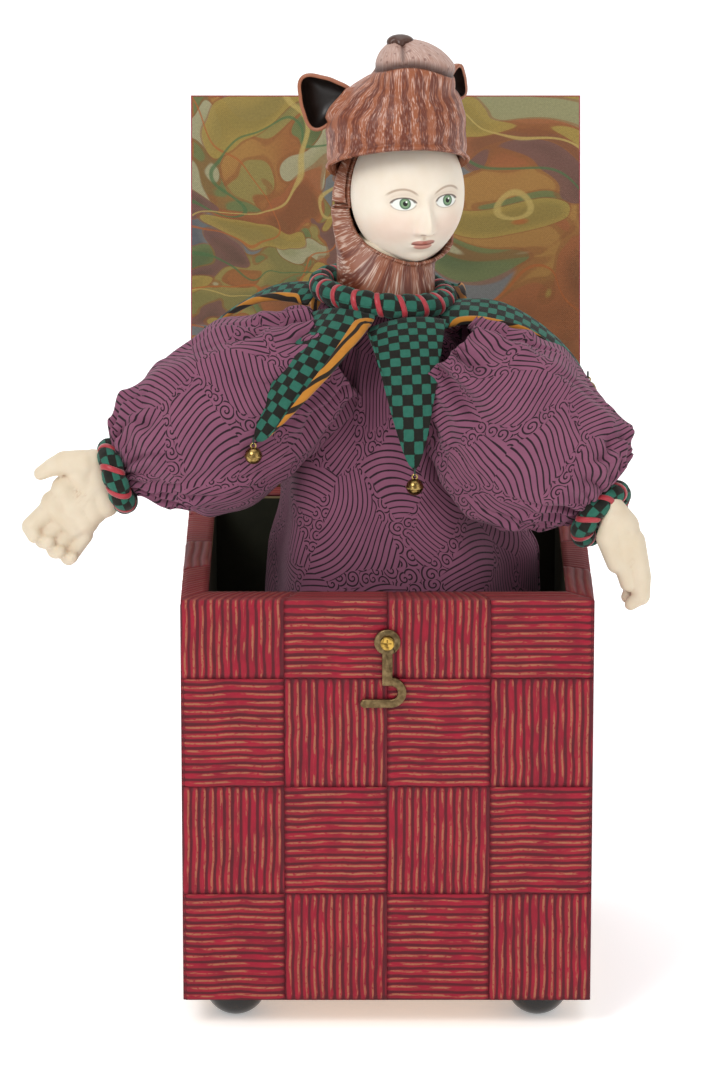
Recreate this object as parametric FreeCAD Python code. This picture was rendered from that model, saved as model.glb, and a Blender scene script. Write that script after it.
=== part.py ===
import FreeCAD, Part

import math
import os

# Jack in the box: a paper-covered wooden box with a hinged lid and a brass swivel hook,
# and a cloth figure with a porcelain head and hands on a conical spring.
# Millimetres. +X is to the right as the front is looked at, -Y is the front, Z is up. The
# origin is at the centre of the box, on the plane that its feet stand on.

V = FreeCAD.Vector
X_AXIS, Y_AXIS, Z_AXIS = V(1, 0, 0), V(0, 1, 0), V(0, 0, 1)

# driving dimensions of the box
HALF = 69.0                 # half of the box's width and of its depth
FOOT_HEIGHT = 10.3
RIM_Z = 152.7
BOARD_T = 7.6
FACING_T = 1.2              # combed paste paper
LINING_T = 0.4              # plain lining paper
BOTTOM_T = 8.0
BOARD_OUT = HALF - FACING_T
BOARD_IN = BOARD_OUT - BOARD_T
CLEAR_IN = BOARD_IN - LINING_T
FLOOR_Z = FOOT_HEIGHT + BOTTOM_T + LINING_T

# feet: turned half balls with a small flat
FOOT_INSET = 17.5
FOOT_FLAT_R = 3.0
FOOT_BALL_R = math.hypot(FOOT_HEIGHT, FOOT_FLAT_R)
FOOT_AT = HALF - FOOT_INSET

# lid
LID_GAP = 0.2
LID_T = 6.4
LID_FRONT_Y = -67.7
LID_OPEN_DEG = 106.5
LID_Z = RIM_Z + LID_GAP

# butt hinges
HINGE_X = 34.0
HINGE_WIDTH = 16.0
KNUCKLE_R = 1.3
HINGE_PIN_R = 0.6
LEAF_T = 0.7
KNUCKLE_GAP = 0.1
MIDDLE_KNUCKLE = 5.8
BOX_LEAF_DEPTH = 9.5
LID_LEAF_DEPTH = 5.9
HINGE_SCREW_X = 5.2
HINGE_Y = HALF + KNUCKLE_R
HINGE_Z = RIM_Z + LID_GAP / 2

# swivel hook and the pin that it catches
HOOK_PIVOT_Z = RIM_Z - 14.9
HOOK_T = 1.6
HOOK_GAP = 0.2
HOOK_EYE_R = 4.4
HOOK_SHANK_W = 3.5
HOOK_BAND = 2.9
THROAT_X, THROAT_DOWN, THROAT_R = 1.1, 17.6, 2.4
HOOK_TIP_X = -9.0
HOOK_SCREW_R = 1.1
HOOK_SCREW_HEAD_R = 2.3
CATCH_PIN_R = 1.5
CATCH_PIN_Z = LID_Z + 2.9

# conical spring
WIRE_R = 0.9
SPRING_BOTTOM_R = 34.0
SPRING_TOP_R = 13.0
SPRING_TURNS = 8
SPRING_SECTION_SIDES = 12   # the round wire, as a polygon of the same area
SPRING_SECTION_EASE = 1.0235
SPRING_PITCH = 24.7         # a little over the exact rise of a turn, for the staples' height
BODY_Y = -8.0               # the figure's own axis is a little in front of the box's

# figure
BLOCK_Z, BLOCK_T = 218.0, 12.0
BLOCK_HALF_X, BLOCK_HALF_Y = 26.0, 7.5
SHOULDER_X, SHOULDER_Z = 23.0, 224.0
POST_X, POST_R, POST_TOP_Z = 1.0, 4.0, 262.0
HEAD = V(5.0, -8.0, 278.0)
HEAD_R, HEAD_RZ = 19.0, 24.0
NECK_R = 8.5
HOOD = V(4.2, -6.5, 272.0)
HOOD_R, HOOD_RZ = 22.4, 28.5
HOOD_NECK_R = 15.8
HAT = V(3.2, -8.0, 293.0)
HAT_R, HAT_RZ = 25.2, 27.0
BRIM_Z, BRIM_TILT_DEG = 284.3, 24.0
COLLAR = V(-1.5, -8.0, 243.0)
COLLAR_R, COLLAR_TUBE_R, COLLAR_TILT_DEG = 21.0, 4.2, 6.0
POINT_T = 1.4
BELL_R, BELL_WALL = 2.9, 0.35

# arms: wire axle in the shoulder block, then a rod to the wrist
ARM_WIRE_R = 1.1
LEFT_ARM = {
    "side": -1, "rod_y": -39.5, "hand": V(-105.5, -40.6, 175.5), "wrist_at": 76.0,
    "sleeve": [(2, 9), (8, 15), (18, 20), (30, 24), (44, 25.5), (57, 24), (67, 18), (73, 9.5)],
    "drop": 4.0,
}
RIGHT_ARM = {
    "side": 1, "rod_y": -45.5, "hand": V(79.5, -52.3, 161.6), "wrist_at": 66.0,
    "sleeve": [(2, 9), (8, 16), (17, 22), (28, 25.5), (39, 26.5), (50, 24), (58, 18), (63, 9.5)],
    "drop": 2.0,
}

# robe: heights with the half-widths, half-depths and centre of its sections
ROBE_SECTIONS = [
    (FLOOR_Z + 0.4, 50.0, 48.0, 3.0, -3.0),
    (90.0, 51.0, 46.0, 4.0, -4.0),
    (150.0, 47.5, 40.0, 5.0, -6.0),
    (170.0, 41.0, 36.0, 2.0, -6.5),
    (190.0, 35.5, 30.0, -1.0, -7.0),
    (212.0, 33.5, 22.5, 0.0, -8.0),
    (231.5, 33.0, 17.5, 0.0, -8.0),
]
ROBE_T = 1.3


def block(x0, x1, y0, y1, z0, z1):
    return Part.makeBox(x1 - x0, y1 - y0, z1 - z0, V(x0, y0, z0))


def rod(start, end, radius):
    run = end.sub(start)
    return Part.makeCylinder(radius, run.Length, start, run)


def capsule(start, end, radius):
    return join([rod(start, end, radius), Part.makeSphere(radius, start), Part.makeSphere(radius, end)])


def spheroid(centre, rx, ry, rz):
    stretch = FreeCAD.Matrix()
    stretch.scale(rx, ry, rz)
    shape = Part.makeSphere(1).transformGeometry(stretch)
    shape.translate(centre)
    return shape


def join(shapes):
    whole = shapes[0].multiFuse(shapes[1:]) if len(shapes) > 1 else shapes[0]
    return whole.removeSplitter()


def group(shapes):
    return Part.makeCompound(shapes)


def screw(head, into, head_r, head_t, shank_r, length):
    """A round-headed screw with a cross recess; head is the middle of the head's underside."""
    outwards = into.negative()
    dome = Part.makeCylinder(head_r, head_t, head, outwards)
    shank = Part.makeCylinder(shank_r, length, head, into)
    top = head.add(outwards * head_t)
    side = X_AXIS if abs(into.x) < 0.5 else Y_AXIS
    slots = []
    for arm in (side, into.cross(side)):
        across = arm * (head_r * 0.6)
        slot = rod(top.sub(across), top.add(across), 0.22)
        slots.append(slot)
    return join([dome, shank]).cut(join(slots))


# ---------------------------------------------------------------- box

def panels():
    z0, z1 = FOOT_HEIGHT, RIM_Z - FACING_T
    front = block(-BOARD_OUT, BOARD_OUT, -BOARD_OUT, -BOARD_IN, z0, z1)
    back = block(-BOARD_OUT, BOARD_OUT, BOARD_IN, BOARD_OUT, z0, z1)
    left = block(-BOARD_OUT, -BOARD_IN, -BOARD_IN, BOARD_IN, z0, z1)
    right = block(BOARD_IN, BOARD_OUT, -BOARD_IN, BOARD_IN, z0, z1)
    return front.cut(hook_screw_hole()), back.cut(box_leaf_screw_holes()), left, right


def facings():
    """Each cover lies on the outside of a wall and turns in over its rim."""
    z0, z1 = FOOT_HEIGHT, RIM_Z
    front = join([
        block(-HALF, HALF, -HALF, -BOARD_OUT, z0, z1),
        block(-HALF, HALF, -BOARD_OUT, -CLEAR_IN, z1 - FACING_T, z1),
    ])
    back = front.mirror(V(0, 0, 0), Y_AXIS)
    left = join([
        block(-HALF, -BOARD_OUT, -BOARD_OUT, BOARD_OUT, z0, z1 - FACING_T),
        block(-HALF, -CLEAR_IN, -CLEAR_IN, CLEAR_IN, z1 - FACING_T, z1),
    ])
    left = left.cut(block(-HALF, -BOARD_OUT, -HALF, -BOARD_OUT, z0, z1))
    right = left.mirror(V(0, 0, 0), X_AXIS)
    return front.cut(hook_screw_hole()), back.cut(box_leaf_screw_holes()), left, right


def bottom_board():
    board = block(-BOARD_IN, BOARD_IN, -BOARD_IN, BOARD_IN, FOOT_HEIGHT, FOOT_HEIGHT + BOTTOM_T)
    return board.cut(foot_screws()).cut(group(staples(FLOOR_Z, SPRING_BOTTOM_R, -1)))


def box_lining():
    outer = block(-BOARD_IN, BOARD_IN, -BOARD_IN, BOARD_IN, FLOOR_Z - LINING_T, RIM_Z - FACING_T)
    inner = block(-CLEAR_IN, CLEAR_IN, -CLEAR_IN, CLEAR_IN, FLOOR_Z, RIM_Z)
    return outer.cut(inner).cut(group(staples(FLOOR_Z, SPRING_BOTTOM_R, -1)))


def foot_centres():
    return [V(x, y, FOOT_HEIGHT) for y in (-FOOT_AT, FOOT_AT) for x in (-FOOT_AT, FOOT_AT)]


def foot(centre):
    ball = Part.makeSphere(FOOT_BALL_R, centre)
    span = 2 * FOOT_BALL_R
    keep = block(centre.x - span, centre.x + span, centre.y - span, centre.y + span, 0, FOOT_HEIGHT)
    return ball.common(keep).cut(foot_screws())


def foot_screws():
    """Countersunk screws put in from above, under the lining, one to a foot."""
    head_r, shank_r, cone_t, reach = 3.0, 1.4, 2.0, 6.0
    top = FOOT_HEIGHT + BOTTOM_T
    shapes = []
    for centre in foot_centres():
        cone = Part.makeCone(shank_r, head_r, cone_t, V(centre.x, centre.y, top - cone_t))
        shank = rod(V(centre.x, centre.y, FOOT_HEIGHT - reach), V(centre.x, centre.y, top - 1), shank_r)
        shapes.append(join([cone, shank]))
    return group(shapes)


# ---------------------------------------------------------------- hinges and lid

def knuckle(x0, x1):
    return Part.makeCylinder(KNUCKLE_R, x1 - x0, V(x0, HINGE_Y, HINGE_Z), X_AXIS)


def leaf(middle_x, side, depth, spans):
    """One hinge leaf against the back of the wall: side -1 hangs down, +1 stands up."""
    near, far = KNUCKLE_R + 0.15, depth
    z0, z1 = sorted((HINGE_Z + side * near, HINGE_Z + side * far))
    half = HINGE_WIDTH / 2
    shapes = [block(middle_x - half, middle_x + half, HALF, HALF + LEAF_T, z0, z1)]
    for x0, x1 in spans:
        a0, a1 = sorted((HINGE_Z, HINGE_Z + side * near))
        shapes.append(block(middle_x + x0, middle_x + x1, HALF, HALF + LEAF_T, a0, a1))
        shapes.append(knuckle(middle_x + x0, middle_x + x1))
    bore = Part.makeCylinder(HINGE_PIN_R + 0.05, HINGE_WIDTH + 2,
                             V(middle_x - half - 1, HINGE_Y, HINGE_Z), X_AXIS)
    return join(shapes).cut(bore)


def box_hinge_leaves():
    half, inner = HINGE_WIDTH / 2, MIDDLE_KNUCKLE / 2 + KNUCKLE_GAP
    spans = [(-half, -inner), (inner, half)]
    leaves = [leaf(x, -1, BOX_LEAF_DEPTH, spans) for x in (-HINGE_X, HINGE_X)]
    return group([one.cut(box_leaf_screw_holes()) for one in leaves])


def lid_hinge_leaves():
    spans = [(-MIDDLE_KNUCKLE / 2, MIDDLE_KNUCKLE / 2)]
    leaves = [leaf(x, 1, LID_LEAF_DEPTH, spans) for x in (-HINGE_X, HINGE_X)]
    return opened(group([one.cut(lid_leaf_screw_holes()) for one in leaves]))


def hinge_pins():
    half = HINGE_WIDTH / 2
    pins = []
    for x in (-HINGE_X, HINGE_X):
        pin = Part.makeCylinder(HINGE_PIN_R, HINGE_WIDTH, V(x - half, HINGE_Y, HINGE_Z), X_AXIS)
        caps = [Part.makeCylinder(HINGE_PIN_R * 1.7, 0.5, V(end, HINGE_Y, HINGE_Z), X_AXIS)
                for end in (x - half - 0.5, x + half)]
        pins.append(join([pin] + caps))
    return group(pins)


def leaf_screw_points(below):
    z = HINGE_Z - 5.6 if below else HINGE_Z + 3.7
    return [V(x + dx, HALF + LEAF_T, z) for x in (-HINGE_X, HINGE_X)
            for dx in (-HINGE_SCREW_X, HINGE_SCREW_X)]


def leaf_screws(below):
    return group([screw(p, V(0, -1, 0), 1.35, 0.5, 0.7, 6.0) for p in leaf_screw_points(below)])


def box_leaf_screw_holes():
    return group([rod(p.add(V(0, 1, 0)), p.add(V(0, -6.0, 0)), 0.7) for p in leaf_screw_points(True)])


def lid_leaf_screw_holes():
    return group([rod(p.add(V(0, 1, 0)), p.add(V(0, -6.0, 0)), 0.7) for p in leaf_screw_points(False)])


def opened(shape):
    turned = shape.copy()
    turned.rotate(V(0, HINGE_Y, HINGE_Z), X_AXIS, -LID_OPEN_DEG)
    return turned


def catch_pin():
    shank = rod(V(0, LID_FRONT_Y + 8, CATCH_PIN_Z), V(0, -HALF - 4.0, CATCH_PIN_Z), CATCH_PIN_R)
    return shank


def lid_solids():
    """Board, cover and lining of the closed lid, which has the same outline as the box."""
    edge = FACING_T
    whole = block(-HALF, HALF, LID_FRONT_Y, HALF, LID_Z, LID_Z + LID_T)
    core = block(-HALF + edge, HALF - edge, LID_FRONT_Y + edge, HALF - edge, LID_Z, LID_Z + LID_T - edge)
    lining = block(-HALF + edge, HALF - edge, LID_FRONT_Y + edge, HALF - edge, LID_Z, LID_Z + LINING_T)
    holes = group([catch_pin(), lid_leaf_screw_holes()])
    board = core.cut(lining).cut(holes)
    cover = whole.cut(core).cut(holes)
    return opened(board), opened(cover), opened(lining)


# ---------------------------------------------------------------- hook

def hook_screw_hole():
    return rod(V(0, -HALF - 3, HOOK_PIVOT_Z), V(0, -HALF + 6.5, HOOK_PIVOT_Z), HOOK_SCREW_R)


def hook_screw():
    under = V(0, -HALF - HOOK_GAP - HOOK_T - 0.1, HOOK_PIVOT_Z)
    length = HOOK_GAP + HOOK_T + 0.1 + 6.5
    return screw(under, Y_AXIS, HOOK_SCREW_HEAD_R, 1.2, HOOK_SCREW_R, length)


def hook():
    """The hook hangs from its eye, steps over and turns back under its open throat."""
    back = -HALF - HOOK_GAP
    throat = V(THROAT_X, back, HOOK_PIVOT_Z - THROAT_DOWN)
    outwards = V(0, -1, 0)
    outer_r = THROAT_R + HOOK_BAND
    eye = Part.makeCylinder(HOOK_EYE_R, HOOK_T, V(0, back, HOOK_PIVOT_Z), outwards)
    shank_end = throat.z + THROAT_R + HOOK_BAND / 2
    shank = block(-HOOK_SHANK_W / 2, HOOK_SHANK_W / 2, back - HOOK_T, back, shank_end, HOOK_PIVOT_Z)
    ring = Part.makeCylinder(outer_r, HOOK_T, throat, outwards)
    left_half = block(-30, THROAT_X, back - HOOK_T, back, throat.z - outer_r, throat.z + outer_r)
    ring = ring.cut(left_half)
    upper = block(-HOOK_SHANK_W / 2, THROAT_X, back - HOOK_T, back,
                  throat.z + THROAT_R, throat.z + outer_r)
    tip_r = HOOK_BAND / 2
    lower_z = throat.z - THROAT_R - tip_r
    lower = block(HOOK_TIP_X + tip_r, THROAT_X, back - HOOK_T, back, lower_z - tip_r, lower_z + tip_r)
    tip = Part.makeCylinder(tip_r, HOOK_T, V(HOOK_TIP_X + tip_r, back, lower_z), outwards)
    plate = join([eye, shank, ring, upper, lower, tip])
    throat_gap = Part.makeCylinder(THROAT_R, HOOK_T, throat, outwards)
    bore = rod(V(0, back + 1, HOOK_PIVOT_Z), V(0, back - HOOK_T - 1, HOOK_PIVOT_Z), HOOK_SCREW_R + 0.05)
    return plate.cut(throat_gap).cut(bore)


# ---------------------------------------------------------------- spring

def main_spring():
    """The widening coil is wound from its small end and turned over to hang from the figure."""
    low, high = FLOOR_Z + WIRE_R + 0.05, BLOCK_Z - WIRE_R - 0.05
    spread = SPRING_BOTTOM_R - SPRING_TOP_R
    slope = math.hypot(spread, high - low)
    cone = math.degrees(math.atan2(spread, high - low))
    path = Part.makeHelix(slope / SPRING_TURNS, slope, SPRING_TOP_R, cone)
    corner_r = WIRE_R * SPRING_SECTION_EASE
    corners = []
    for k in range(SPRING_SECTION_SIDES + 1):
        angle = 2 * math.pi * k / SPRING_SECTION_SIDES
        corners.append(V(SPRING_TOP_R + corner_r * math.cos(angle), 0, corner_r * math.sin(angle)))
    section = Part.makePolygon(corners)
    coil = Part.Wire(path).makePipeShell([section], True, True)
    coil = coil.mirror(V(0, 0, 0), Z_AXIS)
    coil.translate(V(0, BODY_Y, high))
    return coil


def staples(face_z, ring_r, into):
    """Wire staples over the spring's end turn, driven into the face at face_z."""
    wire, straddle, leg = 0.4, 1.6, 6.0
    shapes = []
    for turn in (2, 10):
        angle = into * math.radians(turn)
        climb = SPRING_PITCH * turn / 360
        crown_z = face_z - into * (2 * WIRE_R + 0.8 + climb)
        away = V(math.cos(angle), math.sin(angle), 0)
        middle = V(0, BODY_Y, 0).add(away * ring_r)
        inner, outer = middle.sub(away * straddle), middle.add(away * straddle)
        ends = [V(p.x, p.y, crown_z) for p in (inner, outer)]
        feet = [V(p.x, p.y, face_z + into * leg) for p in (inner, outer)]
        wires = [rod(ends[0], ends[1], wire)] + [rod(a, b, wire) for a, b in zip(ends, feet)]
        balls = [Part.makeSphere(wire, p) for p in ends]
        shapes.append(join(wires + balls))
    return shapes


# ---------------------------------------------------------------- figure

def shoulder_block():
    body = block(-BLOCK_HALF_X, BLOCK_HALF_X, BODY_Y - BLOCK_HALF_Y, BODY_Y + BLOCK_HALF_Y,
                 BLOCK_Z, BLOCK_Z + BLOCK_T)
    upright = [edge for edge in body.Edges if abs(edge.tangentAt(edge.FirstParameter).z) > 0.9]
    body = body.makeFillet(3.0, upright)
    axle_holes = [rod(V(x, BODY_Y - 20, SHOULDER_Z), V(x, BODY_Y + 5, SHOULDER_Z), ARM_WIRE_R + 0.05)
                  for x in (-SHOULDER_X, SHOULDER_X)]
    return body.cut(group(axle_holes)).cut(neck_post()).cut(group(staples(BLOCK_Z, SPRING_TOP_R, 1)))


def neck_post():
    return rod(V(POST_X, BODY_Y, BLOCK_Z + 6), V(POST_X, BODY_Y, POST_TOP_Z), POST_R)


def head():
    skull = spheroid(HEAD, HEAD_R, HEAD_R, HEAD_RZ)
    neck = rod(V(POST_X, BODY_Y, BLOCK_Z + BLOCK_T + 2), V(POST_X, BODY_Y, HEAD.z - NECK_R), NECK_R)
    post_hole = rod(V(POST_X, BODY_Y, BLOCK_Z), V(POST_X, BODY_Y, POST_TOP_Z), POST_R)
    return join([skull, neck]).cut(post_hole)


def hood_outside():
    crown = spheroid(HOOD, HOOD_R, HOOD_R, HOOD_RZ)
    neck = Part.makeCone(HOOD_NECK_R, HOOD_NECK_R + 1.5, HOOD.z - 13 - COLLAR.z,
                         V(COLLAR.x, COLLAR.y, COLLAR.z - 3), V(0.12, 0, 1))
    return join([crown, neck])


def hood():
    """A close shell round the head, open in front of the face."""
    clearance = 0.2
    inside = join([
        spheroid(HEAD, HEAD_R + clearance, HEAD_R + clearance, HEAD_RZ + clearance),
        rod(V(POST_X, BODY_Y, 200), V(POST_X, BODY_Y, HEAD.z), NECK_R + clearance),
    ])
    face = spheroid(V(9.5, HEAD.y - 21, 276), 15.5, 16, 19.5)
    return hood_outside().cut(inside).cut(face)


def brim_cutter():
    reach = 90
    below = block(-reach, reach, -reach, reach, -reach, 0)
    below.rotate(V(0, 0, 0), X_AXIS, -BRIM_TILT_DEG)
    below.translate(V(HAT.x, HAT.y, BRIM_Z))
    return below


def hat():
    """An animal-head cap tipped back, so that its muzzle points up."""
    dome = spheroid(HAT, HAT_R, HAT_R, HAT_RZ).cut(brim_cutter())
    muzzle = spheroid(V(4.3, -11.5, 317.0), 14.5, 13.0, 11.5)
    clearance = 0.2
    inside = spheroid(HOOD, HOOD_R + clearance, HOOD_R + clearance, HOOD_RZ + clearance)
    skull = spheroid(HEAD, HEAD_R + clearance, HEAD_R + clearance, HEAD_RZ + clearance)
    return join([dome, muzzle]).cut(inside).cut(skull).cut(hat_nose())


def hat_nose():
    return spheroid(V(4.4, -9.5, 328.3), 4.6, 3.8, 3.0)


def hat_ears():
    """Two pointed cups that stand out from the sides of the cap."""
    cap = join([spheroid(HAT, HAT_R, HAT_R, HAT_RZ), spheroid(HOOD, HOOD_R, HOOD_R, HOOD_RZ)])
    left = ear(V(-17.0, -3.0, 304.0), V(-30.5, 0.0, 312.5), 8.5)
    right = ear(V(23.0, -1.0, 306.5), V(28.5, 2.0, 318.0), 7.0)
    return group([left.cut(cap), right.cut(cap)])


def ear(root, tip, half_width):
    along = tip.sub(root)
    shape = Part.makeCone(half_width, 0.8, along.Length, root, along)
    hollow = Part.makeCone(half_width - 1.6, 0.2, along.Length, root.add(V(0, -3.0, 0)), along)
    return shape.cut(hollow)


def tilted_collar(shape):
    turned = shape.copy()
    turned.rotate(COLLAR, Y_AXIS, COLLAR_TILT_DEG)
    return turned


def collar_roll():
    ring = Part.makeTorus(COLLAR_R, COLLAR_TUBE_R, COLLAR, Z_AXIS)
    return tilted_collar(ring)


def collar_ribbon():
    """Ribbon turns bound round the padded collar, open on the inside where the hood is."""
    turns, ribbon_t, ribbon_w = 18, 0.35, 1.5
    bands = []
    for k in range(turns):
        angle = 2 * math.pi * k / turns
        away = V(math.cos(angle), math.sin(angle), 0)
        along = V(-math.sin(angle), math.cos(angle), 0)
        start = COLLAR.add(away * COLLAR_R).sub(along * (ribbon_w / 2))
        outer = Part.makeCylinder(COLLAR_TUBE_R + ribbon_t, ribbon_w, start, along)
        inner = Part.makeTorus(COLLAR_R, COLLAR_TUBE_R + 0.02, COLLAR, Z_AXIS)
        hood_room = Part.makeCylinder(COLLAR_R - 2.6, 20, V(COLLAR.x, COLLAR.y, COLLAR.z - 10))
        bands.append(tilted_collar(outer.cut(inner).cut(hood_room)))
    return group(bands)


def collar_point(root, knee, tip, half_width, normal):
    """A tapering cloth point that leaves the collar, bends at the knee and ends at the tip."""
    sections = []
    stations = [(root, half_width), (knee, half_width * 0.72), (tip, 0.8)]
    for place, half in stations:
        along = tip.sub(root)
        side = along.cross(normal)
        side.normalize()
        out = V(normal)
        out.normalize()
        a, b = side * half, out * (POINT_T / 2)
        corners = [place.add(a).add(b), place.add(a).sub(b), place.sub(a).sub(b), place.sub(a).add(b)]
        sections.append(Part.makePolygon(corners + corners[:1]))
    return Part.makeLoft(sections, True, True)


# name: root, knee, tip of each cloth point, its half width and the way that its face looks
POINTS = {
    "front_left": (V(-17.5, -29.5, 240.5), V(-30, -48.0, 224),
        V(-44.6, -53.0, 203.0), 11.0, V(-0.45, -0.85, 0.3)),
    "front_right": (V(7.0, -35.0, 238.0), V(8.2, -46.5, 224),
        V(9.2, -47.0, 190.5), 11.5, V(0.05, -1, 0.2)),
    "side_left": (V(-27.5, -2.0, 243.0), V(-44.0, 4.0, 241),
        V(-65.0, 8.0, 229.5), 10.5, V(-0.3, 0.1, 1)),
    "side_right": (V(24.0, -16.0, 237.5), V(45.0, -17.0, 235.5),
        V(68.0, -14.0, 215.5), 10.5, V(0.45, -0.2, 1)),
    "back_left": (V(-13.0, 14.0, 241.0), V(-18.0, 28.0, 230),
        V(-22.0, 34.0, 197), 10.5, V(-0.2, 1, 0.3)),
    "back_right": (V(13.0, 13.0, 239.0), V(20.0, 28.0, 229),
        V(26.0, 34.0, 197), 10.5, V(0.25, 1, 0.3)),
}
BELL_DROP = 5.5             # from the tip of a point down to the middle of its bell


def bell_centre(name):
    tip = POINTS[name][2]
    return V(tip.x, tip.y, tip.z - BELL_DROP)


def bell(name):
    """A jingle bell: a slit hollow ball with a loop, and a loose pellet inside."""
    centre = bell_centre(name)
    shell = Part.makeSphere(BELL_R, centre).cut(Part.makeSphere(BELL_R - BELL_WALL, centre))
    slit = block(centre.x - 2.2, centre.x + 2.2, centre.y - 0.3, centre.y + 0.3,
                 centre.z - BELL_R - 1, centre.z - 1.2)
    shell = shell.cut(slit)
    loop = Part.makeTorus(0.8, 0.28, V(centre.x, centre.y, centre.z + BELL_R + 0.55), Y_AXIS)
    pellet = Part.makeSphere(0.9, V(centre.x, centre.y, centre.z - 1.6))
    return group([join([shell, loop]), pellet])


def bell_space(name):
    centre, room = bell_centre(name), BELL_R + 0.4
    return join([Part.makeSphere(room, centre), rod(centre, POINTS[name][2], room)])


# ---------------------------------------------------------------- arms

def shoulder_point(arm):
    return V(arm["side"] * SHOULDER_X, arm["rod_y"], SHOULDER_Z)


def arm_direction(arm):
    reach = V(arm["hand"].x, arm["rod_y"], arm["hand"].z).sub(shoulder_point(arm))
    return reach.normalize()


def arm_wire(arm, radius=ARM_WIRE_R, beyond=6.0):
    """Stiff wire: an axle that turns in the shoulder block, bent to run along the arm."""
    elbow = shoulder_point(arm)
    axle = rod(V(elbow.x, BODY_Y + 4, SHOULDER_Z), elbow, radius)
    run = rod(elbow, elbow.add(arm_direction(arm) * (arm["wrist_at"] + beyond)), radius)
    return join([axle, Part.makeSphere(radius, elbow), run])


def arm_frame(arm, shape):
    """Turns a shape made along +X from the shoulder to lie along the arm."""
    direction = arm_direction(arm)
    turned = shape.copy()
    turned.rotate(V(0, 0, 0), Y_AXIS, -math.degrees(math.atan2(direction.z, direction.x)))
    turned.translate(shoulder_point(arm))
    return turned


def sleeve(arm):
    """A full gathered sleeve: round sections along a line from the shoulder to the wrist."""
    shoulder_y = 14.0       # the sleeve starts behind the rod, beside the body
    length = arm["sleeve"][-1][0]
    wires = []
    for place, radius in arm["sleeve"]:
        share = place / length
        middle = V(place, shoulder_y * (1 - share), -arm["drop"] * math.sin(math.pi * share))
        wires.append(Part.Wire(Part.makeCircle(radius, middle, X_AXIS)))
    return arm_frame(arm, Part.makeLoft(wires, True, True))


def cuff(arm):
    """A padded roll round the wrist."""
    centre = V(arm["wrist_at"] + 2.5, 0, 0)
    ring = Part.makeTorus(8.6, 3.6, centre, X_AXIS)
    return arm_frame(arm, ring)


def left_hand():
    """Open hand, palm to the front, thumb uppermost."""
    y = LEFT_ARM["hand"].y
    shapes = [capsule(V(-91.5, y, 186.0), V(-100.0, y, 181.0), 4.4)]
    palm = [V(-99, y, 184.5), V(-98, y, 173.5), V(-108, y, 171.5), V(-109, y, 181.5)]
    shapes += [capsule(a, b, 4.5) for a, b in zip(palm, palm[1:] + palm[:1])]
    shapes.append(block(-108, -99, y - 4.4, y + 4.4, 173, 182))
    fingers = [(V(-112, y, 178), V(-121.5, y, 172.5)), (V(-110, y, 173), V(-120, y, 165)),
               (V(-106, y, 169), V(-114.5, y, 160)), (V(-101.5, y, 168), V(-106, y, 158.5))]
    shapes += [capsule(knuckle_at, tip, 3.0) for knuckle_at, tip in fingers]
    shapes.append(capsule(V(-104, y, 187.5), V(-115.5, y, 187), 2.9))
    return join(shapes).cut(arm_wire(LEFT_ARM))


def right_hand():
    """Relaxed hand hanging edge-on, fingers together."""
    y = RIGHT_ARM["hand"].y
    shapes = [
        capsule(V(72.0, y + 1.0, 172.0), V(77.0, y, 165.5), 4.8),
        capsule(V(77.0, y, 165.5), V(81.5, y, 157.0), 6.0),
        capsule(V(81.5, y, 157.0), V(84.0, y, 150.5), 4.8),
        capsule(V(84.0, y, 150.5), V(81.5, y, 145.5), 4.1),
        capsule(V(75.5, y - 1.0, 161.0), V(74.5, y - 2.0, 152.0), 2.8),
    ]
    return join(shapes).cut(arm_wire(RIGHT_ARM))


def robe_loft(inset):
    ovals = []
    for z, rx, ry, cx, cy in ROBE_SECTIONS:
        oval = Part.Ellipse(V(cx, cy, z), rx - inset, ry - inset)
        ovals.append(Part.Wire(oval.toShape()))
    return Part.makeLoft(ovals, True, True)


def robe():
    """A cloth tube from the box's floor to the shoulders, open below and closed above."""
    outside, inside = robe_loft(0), robe_loft(ROBE_T)
    z_top = ROBE_SECTIONS[-1][0]
    yoke = block(-80, 80, -80, 80, z_top - 1.0, z_top + 1)
    hollow = inside.cut(yoke)
    wires = group([arm_wire(arm, ARM_WIRE_R + 0.4) for arm in (LEFT_ARM, RIGHT_ARM)])
    neck_gap = rod(V(POST_X, BODY_Y, z_top - 5), V(POST_X, BODY_Y, z_top + 5), NECK_R + 0.5)
    return outside.cut(hollow).cut(wires).cut(neck_gap)


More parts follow.
